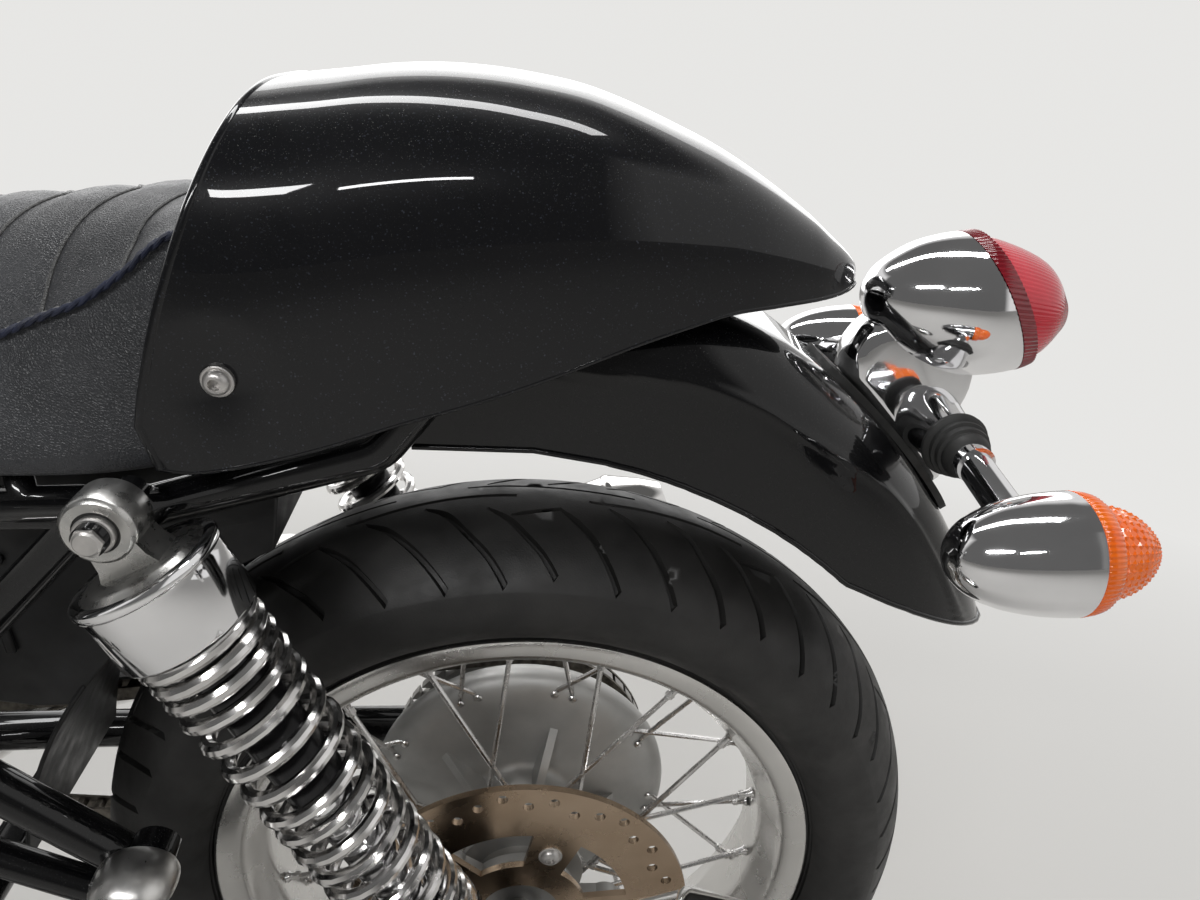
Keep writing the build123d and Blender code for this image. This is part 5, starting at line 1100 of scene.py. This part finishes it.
def seat_point(x, share, inset=0):
    """A point of the seat's outline: share runs from 0, under the middle, over the side to 1, on top."""
    foot, crown, welt = (along_curve(t, x) for t in (SEAT_FOOT, SEAT_CROWN, SEAT_WELT))
    side, edge = along_curve(SEAT_SIDE, x), along_curve(SEAT_EDGE, x)
    foot, crown, welt = foot + inset, crown - inset, welt - inset * 0.6
    side, edge = side - inset, edge - inset
    corner = SEAT_CORNER_R
    if share < FOOT_END:
        y, z = (side - corner) * share / FOOT_END, foot
    elif share < CORNER_END:
        turn = (share - FOOT_END) / (CORNER_END - FOOT_END) * pi / 2
        y, z = side - corner + corner * sin(turn), foot + corner - corner * cos(turn)
    elif share < SIDE_END:
        t = (share - CORNER_END) / (SIDE_END - CORNER_END)
        y, z = side + (edge - side) * t ** 1.3 + 2.4 * sin(pi * t), foot + corner + (welt - foot - corner) * t
    else:
        t = (share - SIDE_END) / (1 - SIDE_END)
        y = edge * (1 - t)
        z = welt + (crown - welt) * (1 - (1 - t) ** 2.3)
    return Vector((x, y, z))


def seat_ring(x, shares, inset=0, shrink=1.0):
    """A closed section of the seat, drawn in towards its middle by shrink where an end is rounded."""
    half = [seat_point(x, s, inset) for s in shares]
    ring = half + [Vector((p.x, -p.y, p.z)) for p in reversed(half[1:-1])]
    middle = Vector((x, 0, (half[0].z + half[-1].z) / 2))
    return [middle + (p - middle) * shrink for p in ring], middle


def seat_form(xs, shares, inset=0):
    """The closed seat form over some stations, with a rounded nose."""
    points = []
    for x in xs:
        shrink = 1 - 0.34 * max(0, (x - 588) / 18) ** 2
        points += seat_ring(x, shares, inset, shrink)[0]
    return points, ring_faces(len(xs), 2 * len(shares) - 2)


def swollen(form, frames=20, most=0.007):
    """The form after its foam has filled: remeshed, blown up as cloth and read back in millimetres."""
    mesh = new_mesh("seat_foam", [form])
    foam = bpy.data.objects.new("seat_foam", mesh)
    bpy.context.scene.collection.objects.link(foam)
    remesh = foam.modifiers.new("even", "REMESH")
    remesh.mode, remesh.voxel_size = "VOXEL", FOAM_GRID
    even = bpy.data.meshes.new_from_object(foam.evaluated_get(bpy.context.evaluated_depsgraph_get()))
    foam.modifiers.clear()
    foam.data = even
    before = [v.co.copy() for v in even.vertices]
    cloth = foam.modifiers.new("fill", "CLOTH")
    cloth.settings.use_pressure = True
    cloth.settings.uniform_pressure_force = FOAM_PRESSURE
    cloth.settings.effector_weights.gravity = 0
    cloth.point_cache.frame_start, cloth.point_cache.frame_end = 1, frames
    for number in range(1, frames + 1):
        bpy.context.scene.frame_set(number)
    full = foam.evaluated_get(bpy.context.evaluated_depsgraph_get()).data
    after = [v.co.copy() for v in full.vertices]
    bpy.context.scene.frame_set(1)
    back = PARKED.inverted()
    points = []
    for start, end in zip(before, after):
        move = end - start
        points.append(back @ (start + move * min(1, most / max(move.length, 1e-9))))
    faces = [list(p.vertices) for p in even.polygons]
    bpy.data.objects.remove(foam)
    return BVHTree.FromPolygons(points, faces)


shares = [FOOT_END * i / 4 for i in range(4)] + [FOOT_END + (CORNER_END - FOOT_END) * i / 4 for i in range(4)]
shares += [CORNER_END + (SIDE_END - CORNER_END) * i / 16 for i in range(16)]
shares += [SIDE_END + (1 - SIDE_END) * (i / 34) for i in range(35)]
xs = [SEAT_NOSE - 1.7 * i for i in range(310)]
foam = None
foam = swollen(seat_form([SEAT_NOSE - 9 * i for i in range(59)], shares[::2] + [1.0], 6))
points, faces = seat_form(xs, shares)
count = 2 * len(shares) - 2
for index, p in enumerate(points):
    share_at = index % count
    share = shares[share_at] if share_at < len(shares) else shares[count - share_at]
    x = xs[index // count]
    middle = seat_ring(x, shares)[1] if share_at == 0 else middle
    out = (p - middle).normalized()
    if foam and share > CORNER_END:
        hit = foam.ray_cast(middle, out)[0]
        if hit:
            swell = max(-4.0, min(2.0, (hit - p).dot(out)))
            p = p + out * swell * 0.7 * min(1, (share - CORNER_END) / 0.1)
    if share > SIDE_END:
        edge = along_curve(SEAT_EDGE, x)
        reach = min(1, abs(p.y) / edge)
        phase = (x - PLEAT_SWEEP * sin(pi / 2 * reach) - PLEAT_FIRST) / PLEAT_STEP
        off = abs(phase - round(phase)) * PLEAT_STEP
        calm = min(1, (1 - reach) / EDGE_SHARE)
        p = p + Vector((0, 0, 1)) * (calm * (PLEAT_RISE * min(1, off / PLEAT_ROUND) ** 0.6 - PLEAT_SINK))
        p = p - out * 1.6 * max(0, 1 - (1 - reach) / EDGE_SHARE)
    points[index] = p
cushion = add_shapes("seat_cushion", [(points, faces)], seat_vinyl, "frame", ["seat"],
                     radians(70))
strands, stitches, pipings = [], [], []
over = BVHTree.FromPolygons(points, faces)
for number in range(-1, 11):
    line = []
    for step in range(-40, 41):
        reach = 0.965 * step / 40
        x = PLEAT_FIRST + PLEAT_STEP * number + PLEAT_SWEEP * sin(pi / 2 * abs(reach))
        hit = over.ray_cast(Vector((x, along_curve(SEAT_EDGE, x) * reach, 900)), Vector((0, 0, -1)))[0]
        if hit and 82 < x < 596:
            line.append(hit + Vector((0, 0, 0.25)))
    if len(line) > 3:
        pipings.append(bar(line, 1.15, 8))
# Piping bars in the lighter grey that paints in the highlight on each raised seam
add_shapes("seat_pleat_piping", pipings, piping_painted_highlight, "frame")
for hand in (1, -1):
    line = [seat_point(x, 0.515) for x in range(604, 74, -WELT_STEP)]
    line = [Vector((p.x, hand * (p.y + 0.3), p.z + 0.5)) for p in line]
    for phase in (0, pi):
        strand = []
        for number, p in enumerate(line):
            turn = 2 * pi * number * WELT_STEP / WELT_PITCH + phase
            strand.append(p + Vector((0, cos(turn), sin(turn))) * 0.95)
        strands.append(bar(strand, 1.35, 8))
    for number in range(1, len(line) - 2, 2):
        p = line[number] + Vector((0, -hand * 3.6, 1.2))
        stitches.append(pointing(p, line[number + 1] - line[number]))
add_shapes("seat_welt", strands, welt_navy, "frame")
stitch = spun([(-2.0, 0.1), (-1.8, 0.4), (-0.9, 0.62), (0.9, 0.62), (1.8, 0.4), (2.0, 0.1)], 8)
add_copies("seat_stitches", [stitch], stitches, thread_grey, "frame")

# EXHAUSTS
# Two polished chrome pipes from the head down under the engine, each into a long silencer that
# widens to the back and is sooty inside. A rolled seam holds the end cone, and a clamp the joint.


def bent(points, radius, steps=8):
    """A line of straight runs joined by arcs of one radius."""
    points = [Vector(p) for p in points]
    line = [points[0]]
    for before, corner, after in zip(points, points[1:], points[2:]):
        a, b = (before - corner).normalized(), (after - corner).normalized()
        half = a.angle(b) / 2
        reach = radius / tan(half)
        centre = corner + (a + b).normalized() * radius / sin(half)
        start, end = corner + a * reach - centre, corner + b * reach - centre
        for step in range(steps + 1):
            line.append(centre + start.slerp(end, step / steps).normalized() * radius)
    return line + [points[-1]]


SILENCER_START, SILENCER_END = Vector((470, 189, 313)), Vector((-152, 246, 487))
HEADER = [(902.3, 52, 642), (975, 52, 642), (1010, 108, 500), (985, 130, 212), (640, 130, 212),
          (470, 189, 313)]
pipes, clamps, clamp_bolts, liners = [], [], [], []
for hand in (1, -1):
    start, end = SILENCER_START.copy(), SILENCER_END.copy()
    start.y, end.y = hand * start.y, hand * end.y
    axis = (end - start).normalized()
    length = (end - start).length
    pipes.append(bar(bent([(x, hand * y, z) for x, y, z in HEADER], 52, 10), 19, 32))
    pipes.append(lathe([(-30, 19.5), (-28, 22), (0, 22.4), (30, 24), (length - 56, 45.6), (length - 55, 46.6),
                        (length - 52, 47), (length - 49, 46.6), (length - 48, 45.8), (length - 20, 34),
                        (length - 1, 24.4), (length, 23.4), (length, 20), (length - 1, 19), (length - 40, 19),
                        (length - 40, 0.1), (-26, 0.1), (-30, 18.5)], start, axis, 72))
    liners.append(lathe([(length - 39.8, 0.1), (length - 39.8, 18.9), (length - 2, 18.9), (length - 2, 18.3),
                         (length - 39, 18.0), (length - 39, 0.1)], start, axis, 40))
    clamps.append(lathe([(-40, 19.4), (-40, 24), (-38.5, 24.8), (-23.5, 24.8), (-22, 24), (-22, 22.6)], start,
                        axis, 40))
    clamps.append(lathe([(0, 19.4), (0, 27), (1, 28), (7, 28), (8, 27), (8, 19.4)], (902.5, hand * 52, 642),
                        (1, 0, 0), 40))
    for lift in (-33, -29):
        clamp_bolts.append(pointing(start + axis * lift + Vector((0, 0, -25.5)), (0, 0, -1)))
exhaust_chrome = mottled("exhaust_chrome", (0.74, 0.73, 0.71), (0.86, 0.86, 0.86), 10, 1.0, (0.04, 0.12),
                         (2200, 0.000008))
add_shapes("exhaust_pipes", pipes, exhaust_chrome, "frame", ["exhaust_left", "exhaust_right"],
           radians(40))
soot = mottled("soot", (0.006, 0.006, 0.006), (0.020, 0.019, 0.018), 60, 0.0, (0.75, 0.95), (1200, 0.0001))
add_shapes("exhaust_soot", liners, soot, "frame")
add_shapes("exhaust_clamps", clamps, eye_alloy, "frame")
hexagon = slab(circle(0, 0, 5.4, 6), 0, 5)
add_copies("exhaust_clamp_bolts", [hexagon], clamp_bolts, bolt_steel, "frame")

# PASSENGER HANGERS
# On each side two black tubes meet in a boss that carries a folded peg and the silencer's strap.
# The peg's end is a polished oval dome, pitted a little, with two bolts below it.

frame_black = gloss_paint("frame_black", (0.004, 0.004, 0.0045), (0.010, 0.010, 0.011), (0.12, 0.12, 0.118))
peg_alloy = mottled("peg_alloy", (0.66, 0.65, 0.63), (0.82, 0.81, 0.79), 45, 1.0, (0.24, 0.40),
                    (900, 0.00003))
# Each tube's line from the frame by way of its bend to the boss, and its radius
HANGER_TUBES = [([(330, 103, 591), (300, 150, 566), (214, 150, 474)], 12),
                ([(400, 92, 547), (345, 150, 522), (224, 150, 446)], 10)]
BOSS_X, BOSS_Z = 215, 469
# The boss's outline as arcs: middle x and z, radius, first and last angle; and how its edges are eased
BOSS_ARCS = [(208, 487, 14, 20, 175), (224, 446, 12, 185, 345), (216, 474, 15, -10, 15)]
BOSS_ROWS = [(142, 0.9), (143.5, 1.0), (156.5, 1.0), (158, 0.9)]
PEG_X, PEG_Z, PEG_LONG, PEG_HIGH, PEG_STEPS = 211, 487, 23, 17, 56
PEG_ROWS = [(158, 0.86), (160, 0.93), (163, 0.975), (167, 1.0), (171, 1.0), (175, 0.985), (179, 0.945),
            (182.5, 0.885), (185.5, 0.80), (188, 0.70), (190, 0.56), (191.3, 0.40), (191.9, 0.22),
            (192, 0.01)]
tubes, pegs, hanger_bolts = [], [], []
for hand in (1, -1):
    for line, radius in HANGER_TUBES:
        tubes.append(bar(bent([(x, hand * y, z) for x, y, z in line], 24), radius, 28))
    tubes.append(bar([(224, hand * 150, 446), (208, hand * 206, 394)], 7, 20))
    boss = []
    for y, keep in BOSS_ROWS:
        for cx, cz, r, first, last in BOSS_ARCS:
            for i in range(13):
                turn = radians(first + (last - first) * i / 12)
                x, z = cx + r * cos(turn) - BOSS_X, cz + r * sin(turn) - BOSS_Z
                boss.append(Vector((BOSS_X + x * keep, hand * y, BOSS_Z + z * keep)))
    tubes.append((boss, ring_faces(len(BOSS_ROWS), 13 * len(BOSS_ARCS))))
    peg = []
    for y, keep in PEG_ROWS:
        for i in range(PEG_STEPS):
            turn = 2 * pi * i / PEG_STEPS
            peg.append(Vector((PEG_X + PEG_LONG * keep * cos(turn), hand * y,
                               PEG_Z + PEG_HIGH * keep * sin(turn))))
    pegs.append((peg, ring_faces(len(PEG_ROWS), PEG_STEPS)))
    hanger_bolts.append(pointing((219, hand * 158.2, 461), (0, hand, 0)))
    hanger_bolts.append(pointing((226, hand * 158.2, 447), (0, hand, 0)))
add_shapes("hanger_tubes", tubes, frame_black, "frame", ["passenger_hangers"], radians(40))
add_shapes("passenger_pegs", pegs, peg_alloy, "frame", (), radians(50))
cap = slab(circle(0, 0, 6.0, 6), 1.4, 4.4)
disc = spun([(0, 0.1), (0, 8), (1.4, 8), (1.4, 0.1)], 24)
add_copies("hanger_bolts", [cap, disc], hanger_bolts, bolt_steel, "frame")

# BATTERY BOX AND INNER GUARD
# A ribbed box of black moulded plastic under the seat, between the frame tubes. Its back wall
# curves round the tyre and carries on down as a splash guard.


def grained(name, dark, light, shine, depth):
    """Moulded plastic or rubber with a fine grain and scuffs."""
    finish, tree, shader = node_finish(name, light, 0.0, shine, Specular_IOR_Level=0.35)
    cloud = spread(tree, noise(tree, 22, 5, rough=0.65), 0, 1, 0.35, 0.7)
    tree.links.new(two_tone(tree, cloud, dark, light), shader.inputs["Base Color"])
    tree.links.new(spread(tree, noise(tree, 55, 4), shine - 0.1, shine + 0.12), shader.inputs["Roughness"])
    bump(tree, shader, noise(tree, 1500, 3), depth)
    return finish


black_plastic = grained("black_plastic", (0.010, 0.010, 0.010), (0.024, 0.024, 0.025), 0.45, 0.00008)
GUARD_R, WALL, BOX_HALF, RIB_DEPTH = 349, 3, 70, 4


def round_tyre(radius, turns):
    """Side-view points at a radius round the rear axle."""
    return [(radius * cos(radians(a)), AXLES["rear"][2] + radius * sin(radians(a))) for a in turns]


def side_plate(outline, y, depth):
    """A flat plate drawn in side view, carried sideways through a depth."""
    return prism(outline, (0, y, 0), (1, 0, 0), (0, 0, 1), (0, depth, 0))


box = round_tyre(GUARD_R, range(37, 70, 3)) + [(124, 702), (430, 702), (430, 560), (300, 530)]
splash = round_tyre(GUARD_R, range(12, 41, 2)) + round_tyre(GUARD_R + WALL, range(40, 11, -2))
forms = [side_plate(box, -BOX_HALF, 2 * BOX_HALF), side_plate(splash, -BOX_HALF - 2, 2 * BOX_HALF + 4)]
ribs = [[(x, 575), (x + 6, 575), (x + 6, 690), (x, 690)] for x in (300, 340, 380)]
ribs.append([(290, 640), (425, 640), (425, 646), (290, 646)])
for hand in (1, -1):
    forms += [side_plate(rib, hand * BOX_HALF, hand * RIB_DEPTH) for rib in ribs]
box_piece = add_shapes("battery_box", forms, black_plastic, "frame")
edge = box_piece.modifiers.new("rounded_edges", "BEVEL")
edge.width, edge.segments, edge.limit_method, edge.angle_limit = 0.0025, 2, "ANGLE", radians(40)

# FRAME, SWINGARM AND STAND
# Steel tubes welded and painted gloss black, with dust on what faces up. The swingarm turns on
# a through bolt, the rear axle's nuts are plain steel, and the chain is oiled and dirty.


def dressed(finish, slot, body, *names, rounded=0):
    """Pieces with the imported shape, merged so that round faces shade smoothly, with soft edges if asked."""
    for name in names:
        work = bmesh.new()
        work.from_mesh(nodes[name].data)
        bmesh.ops.remove_doubles(work, verts=work.verts, dist=0.000002)
        if rounded:
            bmesh.ops.dissolve_limit(work, angle_limit=radians(1.5), verts=work.verts, edges=work.edges)
            sharp = [edge for edge in work.edges
                     if len(edge.link_faces) == 2 and edge.calc_face_angle() > radians(30)]
            bmesh.ops.bevel(work, geom=sharp, offset=rounded / 1000, segments=3, affect="EDGES",
                            clamp_overlap=True, profile=0.5)
        mesh = bpy.data.meshes.new(f"{name}_surface")
        work.to_mesh(mesh)
        work.free()
        mesh.shade_smooth()
        mesh.set_sharp_from_angle(angle=radians(28))
        add_piece(f"{name}_surface", mesh, finish, body, [name])


def repaint(finish, *names):
    """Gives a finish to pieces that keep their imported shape."""
    for name in names:
        for held in nodes[name].material_slots:
            held.material = finish


dressed(frame_black, "frame_paint", "frame", "frame_spine", "frame_tail", "frame_cradle", "swingarm")
dressed(frame_black, "frame_paint", "side_stand", "side_stand")
axle_steel = mottled("axle_steel", (0.34, 0.33, 0.32), (0.52, 0.51, 0.49), 40, 0.9, (0.28, 0.44),
                     (1600, 0.00003))
repaint(axle_steel, "rear_axle", "front_axle", "rear_sprocket")
chain_steel = mottled("chain_steel", (0.035, 0.030, 0.024), (0.22, 0.20, 0.17), 130, 0.8, (0.32, 0.55),
                      (1400, 0.0001))
repaint(chain_steel, "chain")
dressed(black_plastic, "black_plastic", "frame", "chain_guard", "airbox", rounded=1.5)

# ENGINE
# An air-cooled twin: satin alloy cases with polished side covers held by screws, black finned
# barrels, two carburettors and a black oil cooler ahead of the front tubes.

case_alloy = mottled("case_alloy", (0.30, 0.30, 0.295), (0.46, 0.455, 0.44), 14, 0.9, (0.34, 0.5),
                     (1100, 0.0001))
engine_black = grained("engine_black", (0.012, 0.012, 0.012), (0.030, 0.030, 0.031), 0.42, 0.00012)
cover_chrome = mottled("cover_chrome", (0.56, 0.55, 0.53), (0.74, 0.73, 0.72), 18, 1.0, (0.12, 0.26),
                       (1900, 0.00001))
dressed(case_alloy, "cast_alloy", "frame", "engine_crankcase", "carburettors", "rear_caliper")
dressed(case_alloy, "cast_alloy", "steering", "front_caliper")
dressed(cover_chrome, "chrome", "frame", "engine_covers")
repaint(engine_black, "engine_barrels", "oil_cooler")
cover_screws = []
# One row for each cover: middle x and z, radius of its screws, height, side, number
for x, z, radius, y, hand, count in ((862, 345, 64, 143.3, 1, 8), (690, 345, 50, 127.3, 1, 6),
                                     (770, 345, 70, 139.3, -1, 8)):
    for number in range(count):
        turn = 2 * pi * (number + 0.5) / count
        if hand > 0 or cos(turn) < 0.5:
            cover_screws.append(pointing((x + radius * cos(turn), hand * y, z + radius * sin(turn)),
                                         (0, hand, 0)))
screw = spun([(-1, 0.1), (-1, 5.4), (1.6, 5.4), (3.2, 4.4), (3.8, 2.8), (3.8, 2.6), (1.4, 2.4),
              (1.2, 0.1)], 20)
add_copies("cover_screws", [screw], cover_screws, bolt_steel, "frame")

# FUEL TANK AND SIDE PANELS
# Pressed steel painted gloss black, with a chromed filler cap. The side panels are moulded and
# painted to match, as is the front mudguard.

dressed(body_paint, "body_paint", "frame", "fuel_tank")
dressed(body_paint, "body_paint", "steering", "front_mudguard")
dressed(cowl_paint, "cowl_paint", "frame", "side_panels", rounded=3.5)
dressed(chrome, "chrome", "frame", "fuel_cap")

# FORK AND CONTROLS
# Hard-chromed stanchions in cast alloy sliders and yokes, painted bars with plain rubber
# grips, cast levers, and round chromed mirrors on thin stems.

slider_alloy = mottled("slider_alloy", (0.46, 0.455, 0.44), (0.60, 0.595, 0.58), 20, 1.0, (0.24, 0.36),
                       (1500, 0.00003))
dressed(chrome, "chrome", "steering", "fork_stanchions")
dressed(slider_alloy, "cast_alloy", "steering", "fork_sliders", "fork_yokes", "hand_levers")
dressed(frame_black, "frame_paint", "steering", "handlebars")
grip_rubber = grained("grip_rubber", (0.009, 0.009, 0.009), (0.022, 0.021, 0.021), 0.62, 0.00012)
repaint(grip_rubber, "grips", "footrests_left", "footrests_right")
drawn = PARKED.inverted()
corners = [drawn @ vertex.co for vertex in nodes["mirrors"].data.vertices]
rear = min(corner.x for corner in corners)
MIRROR_FOOT = (42, 66, -150)    # from the mirror's middle to its stem's foot, ahead, inwards and up
housings, glasses = [], []
for hand in (1, -1):
    rim = [corner for corner in corners if corner.x < rear + 0.01 and corner.y * hand > 0]
    middle = sum(rim, Vector()) / len(rim)
    foot = middle + Vector((MIRROR_FOOT[0], -hand * MIRROR_FOOT[1], MIRROR_FOOT[2]))
    housings.append(lathe([(1.6, 45), (0, 46), (0, 47), (1, 47.8), (6, 48), (10, 46), (14, 41), (18, 33),
                           (21.5, 21), (23.5, 8), (24, 0.1), (1.6, 0.1)], middle, (1, 0, 0), 64))
    stem = bent([foot, foot + Vector((0, hand * 6, 54)), middle + Vector((14, 0, 0))], 30)
    housings.append(bar(stem, 5, 20))
    housings.append(lathe([(0, 5), (0, 9), (9, 9), (10, 8), (10, 5)], foot, (0, 0.11 * hand, 1), 6))
    glasses.append(lathe([(0.4, 0.1), (0.4, 45), (1.6, 45.2), (1.6, 0.1)], middle, (1, 0, 0), 64))
mirror_glass = mottled("mirror_glass", (0.78, 0.80, 0.82), (0.86, 0.87, 0.88), 20, 1.0, (0.01, 0.04))
add_shapes("mirror_housings", housings, chrome, "steering", ["mirrors"], radians(35))
add_shapes("mirror_glasses", glasses, mirror_glass, "steering")

# HEADLAMP AND GAUGES
# A chromed bowl closed by a domed, fluted glass. Above it two clocks stand in chromed cups,
# with white marks and a needle on each black dial.

RAKE = radians(27)
FORK_X, FORK_UP = Vector((cos(RAKE), 0, sin(RAKE))), Vector((-sin(RAKE), 0, cos(RAKE)))
FORK_FOOT = Vector(AXLES["front"])
BOWL_MOUTH = Vector((1400, 0, 815))
dressed(chrome, "chrome", "steering", "headlight_shell")
cup = spun([(0, 0.1), (0, 11), (11, 12), (13, 16), (14.5, 24), (17, 33), (21, 35.5), (60, 40.4), (62, 41),
            (66, 40.4), (67.5, 39), (67.5, 36.5), (65, 35.6), (65, 0.1)], 64)
clocks = [pointing(FORK_FOOT + FORK_X * 66 + Vector((0, y, 0)) + FORK_UP * 676.3, FORK_UP) for y in (48, -48)]
add_copies("clock_cups", [cup], clocks, chrome, "steering")
dial = spun([(65.1, 0.1), (65.1, 35.4), (65.5, 35.4), (65.5, 0.1)], 64)
dial_black = grained("dial_black", (0.008, 0.008, 0.009), (0.018, 0.018, 0.020), 0.5, 0.00002)
add_copies("clock_dials", [dial], clocks, dial_black, "steering")
marks = []
for number in range(31):
    turn = radians(-45 + 270 * number / 30)
    out, across = Vector((cos(turn), sin(turn), 0)), Vector((-sin(turn), cos(turn), 0))
    long, wide = (7, 0.8) if number % 5 == 0 else (4, 0.4)
    marks.append(prism([(33 - long, -wide), (33, -wide), (33, wide), (33 - long, wide)], (0, 0, 65.5), out,
                       across, (0, 0, 0.25)))
marks.append(prism([(-8, -1.4), (26, -0.4), (26, 0.4), (-8, 1.4)], (0, 0, 66.2), (-0.6, -0.8, 0),
                   (0.8, -0.6, 0), (0, 0, 0.4)))
marks.append(spun([(65.5, 0.1), (65.5, 3.4), (67, 3.4), (67.4, 2.6), (67.4, 0.1)], 24))
dial_white = mottled("dial_white", (0.62, 0.62, 0.58), (0.76, 0.76, 0.72), 60, 0.0, (0.4, 0.6))
add_copies("clock_marks", marks, clocks, dial_white, "steering")
plate = [(66 + 18 * cos(a), 48 + 18 * sin(a)) for a in [radians(10 * i) for i in range(-2, 11)]]
plate += [(-18 + 12 * cos(a), 24 + 12 * sin(a)) for a in [radians(10 * i) for i in range(10, 19)]]
plate += [(x, -y) for x, y in reversed(plate)]
gauge_plate = prism(plate, FORK_FOOT + FORK_UP * 674.4, FORK_X, (0, 1, 0), FORK_UP * 4)
add_shapes("gauge_plate", [gauge_plate], frame_black, "steering", ["gauges"])
glass, tree, shader = node_finish("headlamp_glass", (0.72, 0.75, 0.78), 0.0, 0.06, Coat_Weight=1.0)
flutes = tree.nodes.new("ShaderNodeTexWave")
flutes.bands_direction = "Y"
flutes.inputs["Scale"].default_value = 45
tree.links.new(own_coordinates(tree), flutes.inputs["Vector"])
fluted = two_tone(tree, flutes.outputs["Fac"], (0.42, 0.44, 0.46), (0.78, 0.80, 0.82))
tree.links.new(fluted, shader.inputs["Base Color"])
tree.links.new(spread(tree, noise(tree, 60, 3), 0.03, 0.12), shader.inputs["Roughness"])
bump(tree, shader, flutes.outputs["Fac"], 0.0006)
lens = lathe([(0.3, 0.1), (0.3, 86), (3, 86), (6, 83.5), (9, 77), (12, 66), (14.5, 50), (15.8, 30),
              (16.3, 12), (16.4, 0.1)], BOWL_MOUTH, (1, 0, 0), 72)
add_shapes("headlamp_lens", [lens], glass, "steering", ["headlight_lens"])

# LIGHT, FLOOR AND CAMERA
# A pale floor under soft lamps. The camera stands where the photograph was taken.

PALE, FLOOR_R = (0.80, 0.795, 0.78), 14
floor_finish, tree, shader = node_finish("pale_floor", (0.58, 0.57, 0.55), 0, 0.6, Specular_IOR_Level=0.2)
tree.links.new(spread(tree, noise(tree, 3, 4), 0.5, 0.65), shader.inputs["Roughness"])
reach = tree.nodes.new("ShaderNodeVectorMath")
reach.operation = "LENGTH"
tree.links.new(own_coordinates(tree), reach.inputs[0])
far = spread(tree, reach.outputs["Value"], 0, 1, 1.2, 2.6)
seen = tree.nodes.new("ShaderNodeLightPath").outputs["Is Camera Ray"]
glow, blend = tree.nodes.new("ShaderNodeEmission"), tree.nodes.new("ShaderNodeMixShader")
glow.inputs["Color"].default_value = (*PALE, 1)
tree.links.new(joined(tree, "MULTIPLY", far, seen), blend.inputs["Fac"])
tree.links.new(shader.outputs["BSDF"], blend.inputs[1])
tree.links.new(glow.outputs["Emission"], blend.inputs[2])
tree.links.new(blend.outputs["Shader"], tree.nodes["Material Output"].inputs["Surface"])
work = bmesh.new()
bmesh.ops.create_circle(work, cap_ends=True, radius=FLOOR_R, segments=96)
floor_mesh = bpy.data.meshes.new("floor")
work.to_mesh(floor_mesh)
work.free()
floor = bpy.data.objects.new("floor", floor_mesh)
floor_mesh.materials.append(floor_finish)
bpy.context.scene.collection.objects.link(floor)

# One row for each lamp: name, place, where it points, width, height, watts
LAMPS = [
    ("ceiling_lamp", (-0.6, -0.4, 3.2), (-0.5, -0.2, 0.4), 3.0, 0.35, 46),
    ("back_wall_lamp", (-0.6, -3.2, 1.9), (-0.5, 0, 0.6), 5.0, 2.6, 60),
    ("room_tube_near", (0.3, 2.2, 2.2), (-0.5, 0, 0.7), 1.2, 0.20, 24),
    ("room_tube_far", (-0.9, 3.6, 2.7), (-0.5, 0, 0.7), 1.2, 0.10, 16),
]
for name, place, target, width, height, watts in LAMPS:
    data = bpy.data.lights.new(name, "AREA")
    data.shape = "RECTANGLE"
    data.size, data.size_y, data.energy = width, height, watts
    lamp = bpy.data.objects.new(name, data)
    lamp.location = place
    lamp.rotation_euler = (Vector(target) - Vector(place)).to_track_quat("-Z", "Y").to_euler()
    bpy.context.scene.collection.objects.link(lamp)

world = bpy.data.worlds.new("pale_room")
bpy.context.scene.world = world
world.use_nodes = True
tree = world.node_tree
tree.nodes.clear()
output = tree.nodes.new("ShaderNodeOutputWorld")
background = tree.nodes.new("ShaderNodeBackground")
rays = tree.nodes.new("ShaderNodeLightPath")
direction = tree.nodes.new("ShaderNodeTexCoord")
parts = tree.nodes.new("ShaderNodeSeparateXYZ")
tree.links.new(direction.outputs["Generated"], parts.inputs["Vector"])
# Reflections see a dark wall on one side and a dark ceiling; the camera sees a plain pale room
wall = joined(tree, "MINIMUM", spread(tree, parts.outputs["Y"], 0, 1, -0.10, 0.06),
              spread(tree, parts.outputs["X"], 0, 1, -0.62, -0.50))
dark = joined(tree, "MAXIMUM", wall, spread(tree, parts.outputs["Z"], 0, 1, 0.66, 0.76))
room = two_tone(tree, spread(tree, dark, 0.80, 0.13, 0, 1), (0.0, 0.0, 0.0), (0.95, 0.94, 0.93))
seen_room = two_tone(tree, rays.outputs["Is Camera Ray"], room, PALE)
tree.links.new(seen_room, background.inputs["Color"])
tree.links.new(background.outputs["Background"], output.inputs["Surface"])

camera_data = bpy.data.cameras.new("photo_camera")
camera_data.sensor_width = 36
camera_data.lens = 25.80
camera = bpy.data.objects.new("photo_camera", camera_data)
bpy.context.scene.collection.objects.link(camera)
RIGHT = Vector((-0.99697677, 0.0770357, 0.01014052))
DOWN = Vector((0.02443822, 0.43477149, -0.90020916))
AHEAD = Vector((-0.07375705, -0.8972398, -0.43533969))
turn = Matrix((RIGHT, -DOWN, -AHEAD)).transposed().to_4x4()
upright = Matrix.Translation(Vector((-21.381, 520.324, 921.417)) * 0.001) @ turn
camera.matrix_world = LEANING @ upright
bpy.context.scene.camera = camera
bpy.context.scene.view_settings.view_transform = "Standard"
